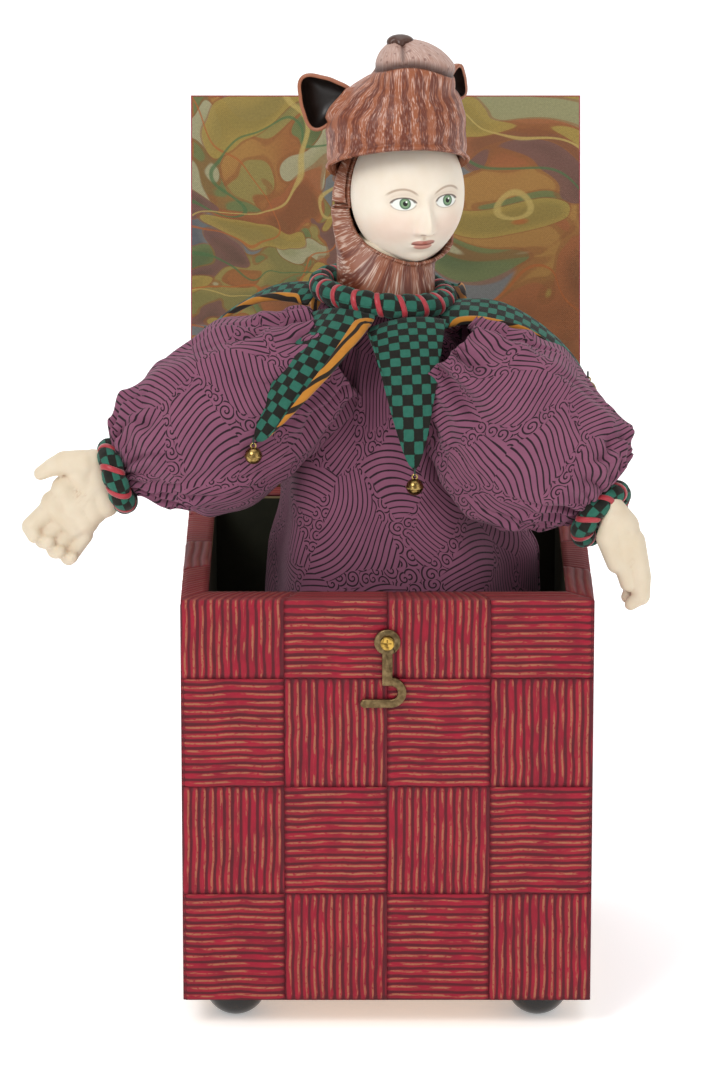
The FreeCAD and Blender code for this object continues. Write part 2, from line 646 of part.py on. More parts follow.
def main():
    os.makedirs("parts", exist_ok=True)
    shapes = {}
    walls = ("front", "back", "left", "right")
    for name, panel, facing in zip(walls, panels(), facings()):
        shapes[name + "_panel"] = panel
        shapes[name + "_facing"] = facing
    shapes["bottom_board"] = bottom_board()
    shapes["box_lining"] = box_lining()
    for name, centre in zip(("front_left", "front_right", "rear_left", "rear_right"), foot_centres()):
        shapes["foot_" + name] = foot(centre)
    shapes["foot_screws"] = foot_screws()
    shapes["hook_screw"] = hook_screw()
    shapes["hook"] = hook()
    shapes["box_hinge_leaves"] = box_hinge_leaves()
    shapes["box_hinge_screws"] = leaf_screws(True)
    shapes["hinge_pins"] = hinge_pins()
    shapes["lower_spring_staples"] = group(staples(FLOOR_Z, SPRING_BOTTOM_R, -1))
    shapes["main_spring"] = main_spring()

    shapes["lid_board"], shapes["lid_facing"], shapes["lid_lining"] = lid_solids()
    shapes["lid_catch_pin"] = opened(catch_pin())
    shapes["lid_hinge_leaves"] = lid_hinge_leaves()
    shapes["lid_hinge_screws"] = opened(leaf_screws(False))

    shapes["shoulder_block"] = shoulder_block()
    shapes["upper_spring_staples"] = group(staples(BLOCK_Z, SPRING_TOP_R, 1))
    shapes["neck_post"] = neck_post()
    shapes["head"] = head()
    shapes["hood"] = hood()
    shapes["hat"] = hat()
    shapes["hat_ears"] = hat_ears()
    shapes["hat_nose"] = hat_nose()
    shapes["collar_roll"] = collar_roll()
    shapes["collar_ribbon"] = collar_ribbon()

    points = {name: collar_point(*data) for name, data in POINTS.items()}
    for name, shape in points.items():
        shapes["collar_point_" + name] = shape.cut(shapes["collar_roll"]).cut(shapes["collar_ribbon"])
        shapes["bell_" + name] = bell(name)
    gown = robe()
    for side, arm, hand in (("left", LEFT_ARM, left_hand()), ("right", RIGHT_ARM, right_hand())):
        puff = sleeve(arm)
        keep_off = [robe_loft(-0.3), arm_wire(arm), hand, shapes["collar_roll"], shapes["collar_ribbon"]]
        keep_off += list(points.values()) + [bell_space(name) for name in POINTS]
        for other in keep_off:
            puff = puff.cut(other)
        puff = max(puff.Solids, key=lambda solid: solid.Volume)
        shapes[side + "_sleeve"] = puff
        shapes[side + "_arm_wire"] = arm_wire(arm)
        shapes[side + "_cuff"] = cuff(arm).cut(puff).cut(hand)
        shapes[side + "_hand"] = hand
    shapes["robe"] = gown

    for name, shape in shapes.items():
        shape.exportStep("parts/" + name + ".step")


main()
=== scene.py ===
"""Jack in the box: combed-paper box, marbled lid lining, brass hook, and a cloth puppet
with a bisque head, an animal cap and bisque hands. Metres; lengths below are in
millimetres and are multiplied by MM."""

import math

import bmesh
import bpy
from mathutils import Matrix, Vector, noise


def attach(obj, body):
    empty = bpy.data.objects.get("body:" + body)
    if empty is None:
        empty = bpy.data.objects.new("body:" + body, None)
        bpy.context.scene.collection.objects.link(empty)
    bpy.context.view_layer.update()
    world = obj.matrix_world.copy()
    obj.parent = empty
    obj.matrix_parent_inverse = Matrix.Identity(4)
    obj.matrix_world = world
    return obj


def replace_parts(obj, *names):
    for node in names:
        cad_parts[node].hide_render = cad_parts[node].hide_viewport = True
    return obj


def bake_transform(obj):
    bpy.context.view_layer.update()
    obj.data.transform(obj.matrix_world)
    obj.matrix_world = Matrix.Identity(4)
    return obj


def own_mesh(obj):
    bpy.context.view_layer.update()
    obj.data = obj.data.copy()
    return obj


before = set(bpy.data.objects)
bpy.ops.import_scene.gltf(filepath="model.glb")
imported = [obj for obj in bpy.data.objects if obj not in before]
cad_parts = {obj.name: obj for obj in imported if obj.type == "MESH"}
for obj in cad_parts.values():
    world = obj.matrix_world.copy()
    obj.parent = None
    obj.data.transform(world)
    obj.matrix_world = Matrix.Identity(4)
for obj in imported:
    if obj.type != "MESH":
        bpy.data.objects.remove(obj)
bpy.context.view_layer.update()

MM = 0.001
FACE_Y = -69.0              # front of the box
RIM_Z = 152.7
HINGE = Vector((0, 70.3, 152.8))
LID_OPEN = math.radians(106.5)


# ------------------------------------------------------------ small helpers

def srgb(code):
    """A hex colour as linear RGBA."""
    parts = [int(code[i:i + 2], 16) / 255 for i in (1, 3, 5)]
    return tuple(c / 12.92 if c <= 0.04045 else ((c + 0.055) / 1.055) ** 2.4 for c in parts) + (1.0,)


def live(sockets):
    """The sockets that a node uses with its present settings."""
    return [socket for socket in sockets if socket.enabled]


def feed(tree, socket, value):
    """Gives an input its value, or links it to another node or to one of its outputs."""
    if isinstance(value, bpy.types.Node):
        value = live(value.outputs)[0]
    if isinstance(value, bpy.types.NodeSocket):
        tree.links.new(value, socket)
    else:
        socket.default_value = value


def add(tree, kind, *inputs, **named):
    """Adds one node: its kind, with its operation after a space, and its inputs in order.
    A name with a capital is an input too, and any other name is a setting. A Mix mixes colours."""
    kind, _, operation = kind.partition(" ")
    made = tree.nodes.new("ShaderNode" + kind)
    if operation:
        made.operation = operation
    if kind == "Mix":
        made.data_type = "RGBA"
    for name, value in named.items():
        if name[0].islower():
            setattr(made, name, value)
    for socket, value in zip(live(made.inputs), inputs):
        feed(tree, socket, value)
    for name, value in named.items():
        if name[0].isupper():
            feed(tree, made.inputs[name.replace("_", " ")], value)
    return made


def material(name, **values):
    """A new material: its tree and its shader, with the shader's own values set."""
    made = bpy.data.materials.new(name)
    made.use_nodes = True
    tree = made.node_tree
    shader = tree.nodes["Principled BSDF"]
    for key, value in values.items():
        shader.inputs[key.replace("_", " ")].default_value = value
    return made, tree, shader


def raised(tree, shader, height, depth_mm, strength=1.0):
    """Raises the surface by a pattern too fine for the mesh."""
    feed(tree, shader.inputs["Normal"],
         add(tree, "Bump", Height=height, Distance=depth_mm * MM, Strength=strength))


def between(tree, value, low, high):
    """0 below low, 1 above high, smooth between."""
    return add(tree, "MapRange", value, low, high, interpolation_type="SMOOTHSTEP")


def in_mm(tree, uv=None, turn=0.0):
    """Coordinates in millimetres, of the piece or of its own cloth."""
    if uv:
        return add(tree, "Mapping", add(tree, "UVMap", uv_map=uv))
    source = add(tree, "TexCoord").outputs["Object"]
    return add(tree, "Mapping", source, Scale=(1 / MM,) * 3, Rotation=(turn, 0, 0))


def grain(tree, vector, size_mm, detail=2.0, stretch=(1, 1, 1), roughness=0.5):
    """Noise whose grains are about size_mm across, longer where stretch is larger."""
    scaled = add(tree, "Mapping", vector, Scale=tuple(1 / s for s in stretch))
    return add(tree, "TexNoise", scaled, Scale=1 / size_mm, Detail=detail, Roughness=roughness)


def smoothstep(low, high, value):
    t = min(max((value - low) / (high - low), 0.0), 1.0)
    return t * t * (3 - 2 * t)


def bell_curve(value, width):
    return math.exp(-(value / width) ** 2)


def waver(x, y=0.0, z=0.0):
    """Smooth wandering value from -1 to 1, the same on every run."""
    return noise.noise(Vector((x, y, z)))


def table_value(table, at):
    """The value at a place in a table of (place, value) rows, eased between the rows."""
    for (a, low), (b, high) in zip(table, table[1:]):
        if at <= b:
            return low + (high - low) * smoothstep(a, b, at)
    return table[-1][1]


def put(name, bm, finishes, body=None, smooth=True, scale=MM):
    """Makes the piece from a mesh built in millimetres."""
    bmesh.ops.scale(bm, vec=(scale,) * 3, verts=bm.verts)
    data = bpy.data.meshes.new(name)
    bm.to_mesh(data)
    bm.free()
    for finish in finishes:
        data.materials.append(finish)
    data.shade_smooth() if smooth else data.shade_flat()
    piece = bpy.data.objects.new(name, data)
    bpy.context.scene.collection.objects.link(piece)
    if body:
        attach(piece, body)
    return piece


def modifier(piece, kind, **settings):
    made = piece.modifiers.new(kind.title(), kind)
    for name, value in settings.items():
        setattr(made, name, value)
    return made


def wall(piece, thickness_mm, offset=-1.0, inner=0, rim=0):
    """Gives a skin its thickness; inner and rim pick the material slots further on."""
    return modifier(piece, "SOLIDIFY", thickness=thickness_mm * MM, offset=offset,
                    material_offset=inner, material_offset_rim=rim, use_even_offset=False)


def settle(piece):
    """Applies the piece's modifiers, so that its mesh is final."""
    graph = bpy.context.evaluated_depsgraph_get()
    final = bpy.data.meshes.new_from_object(piece.evaluated_get(graph), depsgraph=graph)
    final.name = piece.name
    piece.modifiers.clear()
    piece.data = final
    return piece


def mapped(columns, rows, place, cloth=(1.0, 1.0), joined=False, flip=False):
    """A grid carried to place(u, v), with u and v from 0 to 1, and its flat size as UV in mm."""
    bm = bmesh.new()
    bmesh.ops.create_grid(bm, x_segments=columns, y_segments=rows, size=0.5)
    uv = bm.loops.layers.uv.new("cloth")
    for face in bm.faces:
        for loop in face.loops:
            loop[uv].uv = ((loop.vert.co.x + 0.5) * cloth[0], (loop.vert.co.y + 0.5) * cloth[1])
    for vert in bm.verts:
        vert.co = place(vert.co.x + 0.5, vert.co.y + 0.5)
    if joined:
        bmesh.ops.remove_doubles(bm, verts=bm.verts, dist=0.002)
    if flip:
        bmesh.ops.reverse_faces(bm, faces=bm.faces)
    return bm


def turned(profile, steps):
    """A profile of (radius, height) points spun about Z, with its doubles merged."""
    bm = bmesh.new()
    verts = [bm.verts.new((r, 0, z)) for r, z in profile]
    edges = [bm.edges.new(pair) for pair in zip(verts, verts[1:])]
    bmesh.ops.spin(bm, geom=verts + edges, cent=(0, 0, 0), axis=(0, 0, 1), angle=2 * math.pi,
                   steps=steps, use_merge=True, use_duplicate=False)
    bmesh.ops.remove_doubles(bm, verts=bm.verts, dist=0.0005)
    bmesh.ops.recalc_face_normals(bm, faces=bm.faces)
    return bm


def joined_mesh(parts):
    """One mesh from several, each freed."""
    whole = bmesh.new()
    for part in parts:
        data = bpy.data.meshes.new("part")
        part.to_mesh(data)
        part.free()
        whole.from_mesh(data)
        bpy.data.meshes.remove(data)
    return whole


def fitted_copy(node, finishes, body, edge_mm=0.3, segments=2, name=None):
    """A CAD part with its edges eased, standing in its place."""
    bm = bmesh.new()
    bm.from_mesh(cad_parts[node].data)
    bmesh.ops.remove_doubles(bm, verts=bm.verts, dist=0.00001)
    bmesh.ops.dissolve_limit(bm, angle_limit=math.radians(1.0), verts=bm.verts, edges=bm.edges)
    piece = put(name or node + "_finished", bm, finishes, body, smooth=True, scale=1.0)
    modifier(piece, "BEVEL", width=edge_mm * MM, segments=segments, limit_method="ANGLE",
             angle_limit=math.radians(40), harden_normals=True, use_clamp_overlap=True)
    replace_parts(piece, node)
    return piece


# ------------------------------------------------------------ finishes

def combed_paper():
    """Paste paper: coloured paste combed while wet, dried matt, with bare streaks on the ridges."""
    made, tree, shader = material("combed paste paper", Roughness=0.62, Specular_IOR_Level=0.35)
    cloth = in_mm(tree, "comb")
    ridge = add(tree, "Attribute", attribute_name="ridge").outputs["Fac"]
    flank = add(tree, "Attribute", attribute_name="flank").outputs["Fac"]
    blotch = grain(tree, cloth, 9, 3)
    red = add(tree, "Mix", between(tree, blotch, 0.3, 0.7), srgb("#80021e"), srgb("#950525"))
    # painted shade: the grooves between the ridges take a darker red than the ridge tops
    low = add(tree, "Mix", blotch, srgb("#48030f"), srgb("#5a0517"))
    body = add(tree, "Mix", between(tree, ridge, 0.1, 0.55), low, red)
    # a dry line about 0.7 mm wide runs along one shoulder of each ridge, broken every few millimetres
    lean = add(tree, "Math MULTIPLY_ADD", grain(tree, cloth, 11, 2, stretch=(1, 2, 1)), 0.9, -0.2)
    line = between(tree, add(tree, "Math ABSOLUTE", add(tree, "Math SUBTRACT", flank, lean)), 0.38, 0.12)
    gaps = grain(tree, cloth, 1.9, 3, stretch=(0.7, 5, 1), roughness=0.6)
    patch = add(tree, "Math MULTIPLY_ADD", grain(tree, cloth, 17, 1), 0.45, -0.22)
    kept = between(tree, add(tree, "Math ADD", gaps, patch), 0.40, 0.54)
    speck = between(tree, grain(tree, cloth, 0.6, 2, stretch=(1, 2.5, 1)), 0.3, 0.48)
    bare = add(tree, "Math MULTIPLY", add(tree, "Math MULTIPLY", line, kept),
               add(tree, "Math MULTIPLY", speck, between(tree, ridge, 0.3, 0.55)))
    ochre = add(tree, "Mix", grain(tree, cloth, 5, 2), srgb("#94553a"), srgb("#a87150"))
    colour = add(tree, "Mix", add(tree, "Math MULTIPLY", bare, 0.8), body, ochre)
    place = add(tree, "SeparateXYZ", in_mm(tree))
    rim = between(tree, place.outputs["Z"], RIM_Z - 1.2, RIM_Z - 0.2)
    over = between(tree, place.outputs["Z"], RIM_Z + 0.6, RIM_Z + 1.2)
    rim = add(tree, "Math MULTIPLY", add(tree, "Math SUBTRACT", rim, over, use_clamp=True), 0.75)
    colour = add(tree, "Mix", rim, colour, srgb("#6b2a2a"))
    feed(tree, shader.inputs["Base Color"], colour)
    fibre = grain(tree, cloth, 0.5, 3, stretch=(0.5, 3, 1))
    raised(tree, shader, fibre, 0.12, 0.5)
    return made


def plain_red_paper():
    """Crimson paper over board edges: matt, rubbed lighter where it is handled."""
    made, tree, shader = material("crimson paper", Roughness=0.66, Specular_IOR_Level=0.3)
    place = in_mm(tree)
    rubbed = between(tree, grain(tree, place, 4, 4), 0.55, 0.75)
    colour = add(tree, "Mix", add(tree, "Math MULTIPLY", rubbed, 0.5), srgb("#8e1630"), srgb("#a2543c"))
    feed(tree, shader.inputs["Base Color"], colour)
    raised(tree, shader, grain(tree, place, 0.6, 3), 0.1, 0.5)
    return made


def inside_paper():
    """Dark olive lining paper, with the tan raw edge of its turn-in at the rim."""
    made, tree, shader = material("olive lining paper", Roughness=0.8, Specular_IOR_Level=0.2)
    place = in_mm(tree)
    mottle = grain(tree, place, 6, 4)
    dark = add(tree, "Mix", mottle, srgb("#22231a"), srgb("#2e2f22"))
    height = add(tree, "SeparateXYZ", place).outputs["Z"]
    lip = between(tree, height, RIM_Z - 2.2, RIM_Z - 1.6)
    colour = add(tree, "Mix", lip, dark, srgb("#9a8462"))
    feed(tree, shader.inputs["Base Color"], colour)
    raised(tree, shader, grain(tree, place, 0.4, 3), 0.08, 0.5)
    return made


def marbled_cloth():
    """Book cloth marbled on size: drops of colour raked into swirls, over a fine canvas weave."""
    made, tree, shader = material("marbled book cloth", Roughness=0.55, Specular_IOR_Level=0.3)
    flat = in_mm(tree, turn=LID_OPEN)
    raked = flat
    for scale, reach in ((0.013, 95.0), (0.04, 24.0)):
        drift = add(tree, "TexNoise", raked, Scale=scale, Detail=0.6)
        pull = add(tree, "VectorMath SUBTRACT", drift.outputs["Color"], (0.5, 0.5, 0.5))
        pull = add(tree, "VectorMath SCALE", pull.outputs[0], reach)
        raked = add(tree, "VectorMath ADD", raked, pull.outputs[0])

    def pool(start, size, low, high, stretch=(2.1, 1, 1)):
        moved = add(tree, "VectorMath ADD", raked, (start, start * 0.7, start))
        return between(tree, grain(tree, moved, size, 0.6, stretch), low, high)
    colour = add(tree, "Mix", pool(0, 34, 0.44, 0.56), srgb("#9c6436"), srgb("#a97c40"))
    for start, size, low, code, deep in (
            (110, 23, 0.505, "#94894c", "#7f7c46"), (230, 26, 0.545, "#6f787a", "#53626c"),
            (370, 17, 0.590, "#6b7a4a", "#52693f"), (520, 18, 0.600, "#aaa884", "#989a70"),
            (640, 22, 0.575, "#a06038", "#84502f"), (770, 14, 0.640, "#75534c", "#5f453f"),
            (900, 18, 0.600, "#a58f46", "#938240")):
        rim = pool(start, size, low - 0.018, low - 0.010)
        colour = add(tree, "Mix", add(tree, "Math MULTIPLY", rim, 0.6), colour, srgb("#8f5a30"))
        inside = pool(start, size, low, low + 0.007)
        tint = add(tree, "Mix", pool(start, size, low + 0.02, low + 0.12), srgb(code), srgb(deep))
        colour = add(tree, "Mix", add(tree, "Math MULTIPLY", inside, 0.88), colour, tint)
    # thin strings of colour that the rake has drawn out
    for start, code in ((60, "#b0622f"), (310, "#4c7044"), (450, "#c0a860")):
        moved = add(tree, "VectorMath ADD", raked, (start, start, 0))
        level = grain(tree, moved, 38, 0.0, (1.7, 1, 1))
        band = add(tree, "Math ABSOLUTE", add(tree, "Math SUBTRACT", level, 0.5))
        string = add(tree, "Math MULTIPLY", between(tree, band, 0.008, 0.003), 0.8)
        colour = add(tree, "Mix", string, colour, srgb(code))
    # canvas weave, 0.7 mm a thread, with the colour painted darker between the threads as painted shade, broken
    # by random specks
    thread = add(tree, "SeparateXYZ", flat)
    warp, weft = (add(tree, "Math SINE", add(tree, "Math MULTIPLY", thread.outputs[a], 9.0)) for a in "XY")
    weave = add(tree, "Math MULTIPLY", warp, weft)
    speck = grain(tree, flat, 0.8, 2)
    speck = add(tree, "Math MULTIPLY_ADD", speck, 0.9, 0.1)
    shade = add(tree, "Math MULTIPLY_ADD", weave, 0.22, speck, use_clamp=True)
    colour = add(tree, "Mix", shade, add(tree, "Mix", 0.42, colour, srgb("#2c2618")), colour)
    feed(tree, shader.inputs["Base Color"], colour)
    raised(tree, shader, weave, 0.12, 0.7)
    return made


def black_enamel():
    """Black enamelled wood: glossy, with faint dust that breaks the highlight."""
    made, tree, shader = material("black enamelled wood", Coat_Weight=0.35, Coat_Roughness=0.1,
                                  Specular_IOR_Level=0.3)
    dust = grain(tree, in_mm(tree), 1.2, 4)
    feed(tree, shader.inputs["Base Color"], add(tree, "Mix", dust, srgb("#050506"), srgb("#0b0b0d")))
    feed(tree, shader.inputs["Roughness"], add(tree, "Math MULTIPLY_ADD", dust, 0.2, 0.14))
    return made


def antique_brass(name="antiqued brass", light="#b08d4c", dark="#4f3d20", rough=0.32):
    """Sheet brass dipped to a brown patina and rubbed back, brighter on its edges and high spots."""
    made, tree, shader = material(name, Metallic=1.0)
    place = in_mm(tree)
    tarnish = grain(tree, place, 1.6, 5, roughness=0.6)
    worn = add(tree, "NewGeometry").outputs["Pointiness"]
    bright = add(tree, "Math ADD", between(tree, worn, 0.52, 0.6), between(tree, tarnish, 0.35, 0.75),
                 use_clamp=True)
    feed(tree, shader.inputs["Base Color"], add(tree, "Mix", bright, srgb(dark), srgb(light)))
    feed(tree, shader.inputs["Roughness"], add(tree, "Math MULTIPLY_ADD", tarnish, 0.3, rough - 0.12))
    raised(tree, shader, grain(tree, place, 0.3, 3, stretch=(1, 1, 4)), 0.03, 0.5)
    return made


def spring_steel():
    """Oil-tempered spring wire: drawn, so finely streaked, and grey with a dull gloss."""
    made, tree, shader = material("tempered spring steel", Metallic=1.0)
    streak = grain(tree, in_mm(tree), 0.8, 4, stretch=(1, 1, 3))
    feed(tree, shader.inputs["Base Color"], add(tree, "Mix", streak, srgb("#4b4d50"), srgb("#8b8d90")))
    feed(tree, shader.inputs["Roughness"], add(tree, "Math MULTIPLY_ADD", streak, 0.3, 0.28))
    return made


def bare_wood():
    """Beech: pale, tight-grained, with short darker flecks along the grain."""
    made, tree, shader = material("planed beech", Roughness=0.55)
    place = in_mm(tree)
    rings = grain(tree, place, 5, 4, stretch=(12, 1, 1))
    fleck = between(tree, grain(tree, place, 0.9, 2, stretch=(5, 1, 1)), 0.6, 0.7)
    colour = add(tree, "Mix", rings, srgb("#b98a5c"), srgb("#d2aa7c"))
    feed(tree, shader.inputs["Base Color"], add(tree, "Mix", fleck, colour, srgb("#8f6740")))
    raised(tree, shader, rings, 0.1, 0.4)
    return made


def printed_cotton():
    """Mauve quilting cotton screen-printed with black wave lines: bundles of arcs that meet
    at angles, with curling foam along the meetings. Matt, with a 0.5 mm weave and a soft sheen."""
    made, tree, shader = material("wave-printed cotton", Roughness=0.85, Specular_IOR_Level=0.15,
                                  Sheen_Weight=0.1, Sheen_Roughness=0.5)
    cloth = in_mm(tree, "cloth")
    cell = 27.0             # mm from one bundle to the next
    bend = add(tree, "TexNoise", cloth, Scale=0.03, Detail=0.6).outputs["Color"]
    bend = add(tree, "VectorMath SUBTRACT", bend, (0.5, 0.5, 0.5))
    bend = add(tree, "VectorMath SCALE", bend, 10.0)
    swept = add(tree, "VectorMath ADD", cloth, bend)
    unit = add(tree, "VectorMath SCALE", swept, 1 / cell)
    unit = add(tree, "VectorMath MULTIPLY", unit, (1, 1, 0))
    bundle = add(tree, "TexVoronoi", unit, voronoi_dimensions="2D", Scale=1.0)
    away = add(tree, "VectorMath SUBTRACT", bundle.outputs["Color"], (0.5, 0.5, 0.5))
    away = add(tree, "VectorMath MULTIPLY", away.outputs[0], (1, 1, 0))
    away = add(tree, "VectorMath NORMALIZE", away.outputs[0])
    away = add(tree, "VectorMath SCALE", away.outputs[0], 1.15)
    centre = add(tree, "VectorMath ADD", bundle.outputs["Position"], away.outputs[0])
    reach = add(tree, "VectorMath DISTANCE", unit, centre.outputs[0]).outputs["Value"]
    step = 2.1             # mm between printed lines
    saw = add(tree, "Math FRACT", add(tree, "Math MULTIPLY", reach, cell / step))
    off = add(tree, "Math ABSOLUTE", add(tree, "Math SUBTRACT", saw, 0.5))
    width = add(tree, "Math MULTIPLY_ADD", grain(tree, cloth, 7, 2), 0.12, 0.04)
    lines = between(tree, off, add(tree, "Math ADD", width, 0.06), width)
    # foam: small curls where two bundles meet
    border = add(tree, "TexVoronoi", unit, voronoi_dimensions="2D", feature="DISTANCE_TO_EDGE", Scale=1.0)
    patch = grain(tree, cloth, 22, 1)
    foam = add(tree, "Math MULTIPLY", between(tree, patch, 0.40, 0.58), 0.125)
    foam = add(tree, "Math SUBTRACT", foam, border)
    foam = between(tree, foam, 0.0, 0.015)
    curl = add(tree, "TexVoronoi", swept, voronoi_dimensions="2D", Scale=0.2, Randomness=0.85)
    turn = add(tree, "Math MULTIPLY", curl.outputs["Distance"], 2.9)
    local = add(tree, "VectorMath SUBTRACT", swept, curl.outputs["Position"])
    local = add(tree, "SeparateXYZ", local.outputs[0])
    angle = add(tree, "Math ARCTAN2", local.outputs["Y"], local.outputs["X"])
    saw = add(tree, "Math FRACT", add(tree, "Math MULTIPLY_ADD", angle, 0.159, turn))
    off = add(tree, "Math ABSOLUTE", add(tree, "Math SUBTRACT", saw, 0.5))
    curls = between(tree, off, 0.20, 0.13)
    waves = add(tree, "Math MULTIPLY", lines, add(tree, "Math SUBTRACT", 1.0, foam))
    ink = add(tree, "Math MAXIMUM", waves, add(tree, "Math MULTIPLY", curls, foam))
    ground = add(tree, "Mix", grain(tree, cloth, 12, 3), srgb("#7d4a62"), srgb("#90596f"))
    heather = grain(tree, cloth, 0.45, 2)
    ground = add(tree, "Mix", add(tree, "Math MULTIPLY", heather, 0.3), ground, srgb("#5d3a50"))
    colour = add(tree, "Mix", add(tree, "Math MULTIPLY", ink, 0.95), ground, srgb("#191419"))
    feed(tree, shader.inputs["Base Color"], colour)
    place = add(tree, "SeparateXYZ", cloth)
    warp = add(tree, "Math SINE", add(tree, "Math MULTIPLY", place.outputs["X"], 12.6))
    weft = add(tree, "Math SINE", add(tree, "Math MULTIPLY", place.outputs["Y"], 12.6))
    raised(tree, shader, add(tree, "Math MULTIPLY", warp, weft), 0.06, 0.7)
    return made


def checked_cotton():
    """Green and black checked cotton, 3.3 mm squares with their corners softened by the weave."""
    made, tree, shader = material("checked cotton", Roughness=0.85, Specular_IOR_Level=0.15,
                                  Sheen_Weight=0.1, Sheen_Roughness=0.5)
    cloth = in_mm(tree, "cloth")
    place = add(tree, "SeparateXYZ", cloth)
    pace = math.pi / 3.3
    across = add(tree, "Math SINE", add(tree, "Math MULTIPLY", place.outputs["X"], pace))
    along = add(tree, "Math SINE", add(tree, "Math MULTIPLY", place.outputs["Y"], pace))
    fuzz = add(tree, "Math MULTIPLY", add(tree, "Math SUBTRACT", grain(tree, cloth, 0.5, 2), 0.5), 0.25)
    checks = between(tree, add(tree, "Math ADD", add(tree, "Math MULTIPLY", across, along), fuzz), -0.03, 0.1)
    tone = grain(tree, cloth, 1.5, 3)
    green = add(tree, "Mix", tone, srgb("#24594a"), srgb("#336f5e"))
    black = add(tree, "Mix", tone, srgb("#141613"), srgb("#25231d"))
    feed(tree, shader.inputs["Base Color"], add(tree, "Mix", checks, black, green))
    thread = add(tree, "Math SINE", add(tree, "Math MULTIPLY", place.outputs["X"], 14.0))
    weft = add(tree, "Math SINE", add(tree, "Math MULTIPLY", place.outputs["Y"], 14.0))
    raised(tree, shader, add(tree, "Math MULTIPLY", thread, weft), 0.06, 0.8)
    return made


def striped_lining():
    """Orange cotton lining printed with broken black strokes."""
    made, tree, shader = material("stroke-printed orange cotton", Roughness=0.85, Specular_IOR_Level=0.2,
                                  Sheen_Weight=0.2, Sheen_Roughness=0.5)
    cloth = in_mm(tree, "cloth")
    wave = add(tree, "TexWave", cloth, Scale=0.12, Distortion=9.0, Detail=1.5, Detail_Scale=0.35)
    stroke = between(tree, wave.outputs["Fac"], 0.62, 0.75)
    ground = add(tree, "Mix", grain(tree, cloth, 3, 3), srgb("#a2651d"), srgb("#bb7f30"))
    feed(tree, shader.inputs["Base Color"], add(tree, "Mix", stroke, ground, srgb("#231a12")))
    raised(tree, shader, grain(tree, cloth, 0.5, 2), 0.06, 0.6)
    return made


def satin_ribbon():
    """Narrow red satin ribbon: smooth, with a soft stripe of gloss across its weave."""
    made, tree, shader = material("red satin ribbon", Roughness=0.42, Sheen_Weight=0.3)
    cloth = in_mm(tree, "cloth")
    ribs = grain(tree, cloth, 0.3, 2, stretch=(1, 6, 1))
    feed(tree, shader.inputs["Base Color"], add(tree, "Mix", ribs, srgb("#8f1524"), srgb("#b3222f")))
    raised(tree, shader, ribs, 0.05, 0.6)
    return made


def bisque(name="bisque porcelain", light="#efe6d8", shade="#e2d3bd", painted=False):
    """Unglazed fired porcelain: fine matt clay that lets a little light in, with painted shade darkening its
    concave places.
    """
    made, tree, shader = material(name, Roughness=0.56, Specular_IOR_Level=0.4, Subsurface_Weight=0.12,
                                  Subsurface_Scale=1.5 * MM, Subsurface_Radius=(1.0, 0.6, 0.4))
    place = in_mm(tree)
    tone = grain(tree, place, 7, 4)
    # painted shade: concave places, such as the creases of the hands and the face's sockets, are darkened
    # towards brown
    painted_hollow_shade = between(tree, add(tree, "NewGeometry").outputs["Pointiness"], 0.5, 0.44)
    colour = add(tree, "Mix", tone, srgb(light), srgb(shade))
    colour = add(tree, "Mix", add(tree, "Math MULTIPLY", painted_hollow_shade, 0.45), colour, srgb("#b58d70"))
    if painted:
        colour = painted_features(tree, colour)
    feed(tree, shader.inputs["Base Color"], colour)
    raised(tree, shader, grain(tree, place, 0.4, 3), 0.03, 0.5)
    return made


def oval(tree, place, centre, radii, soft=0.12):
    """1 inside an oval on the face's own coordinates, with an edge as soft as a brush mark."""
    moved = add(tree, "VectorMath SUBTRACT", place, (*centre, 0))
    scaled = add(tree, "VectorMath DIVIDE", moved, (*radii, 1))
    reach = add(tree, "VectorMath LENGTH", scaled).outputs["Value"]
    return between(tree, reach, 1 + soft, 1 - soft), reach


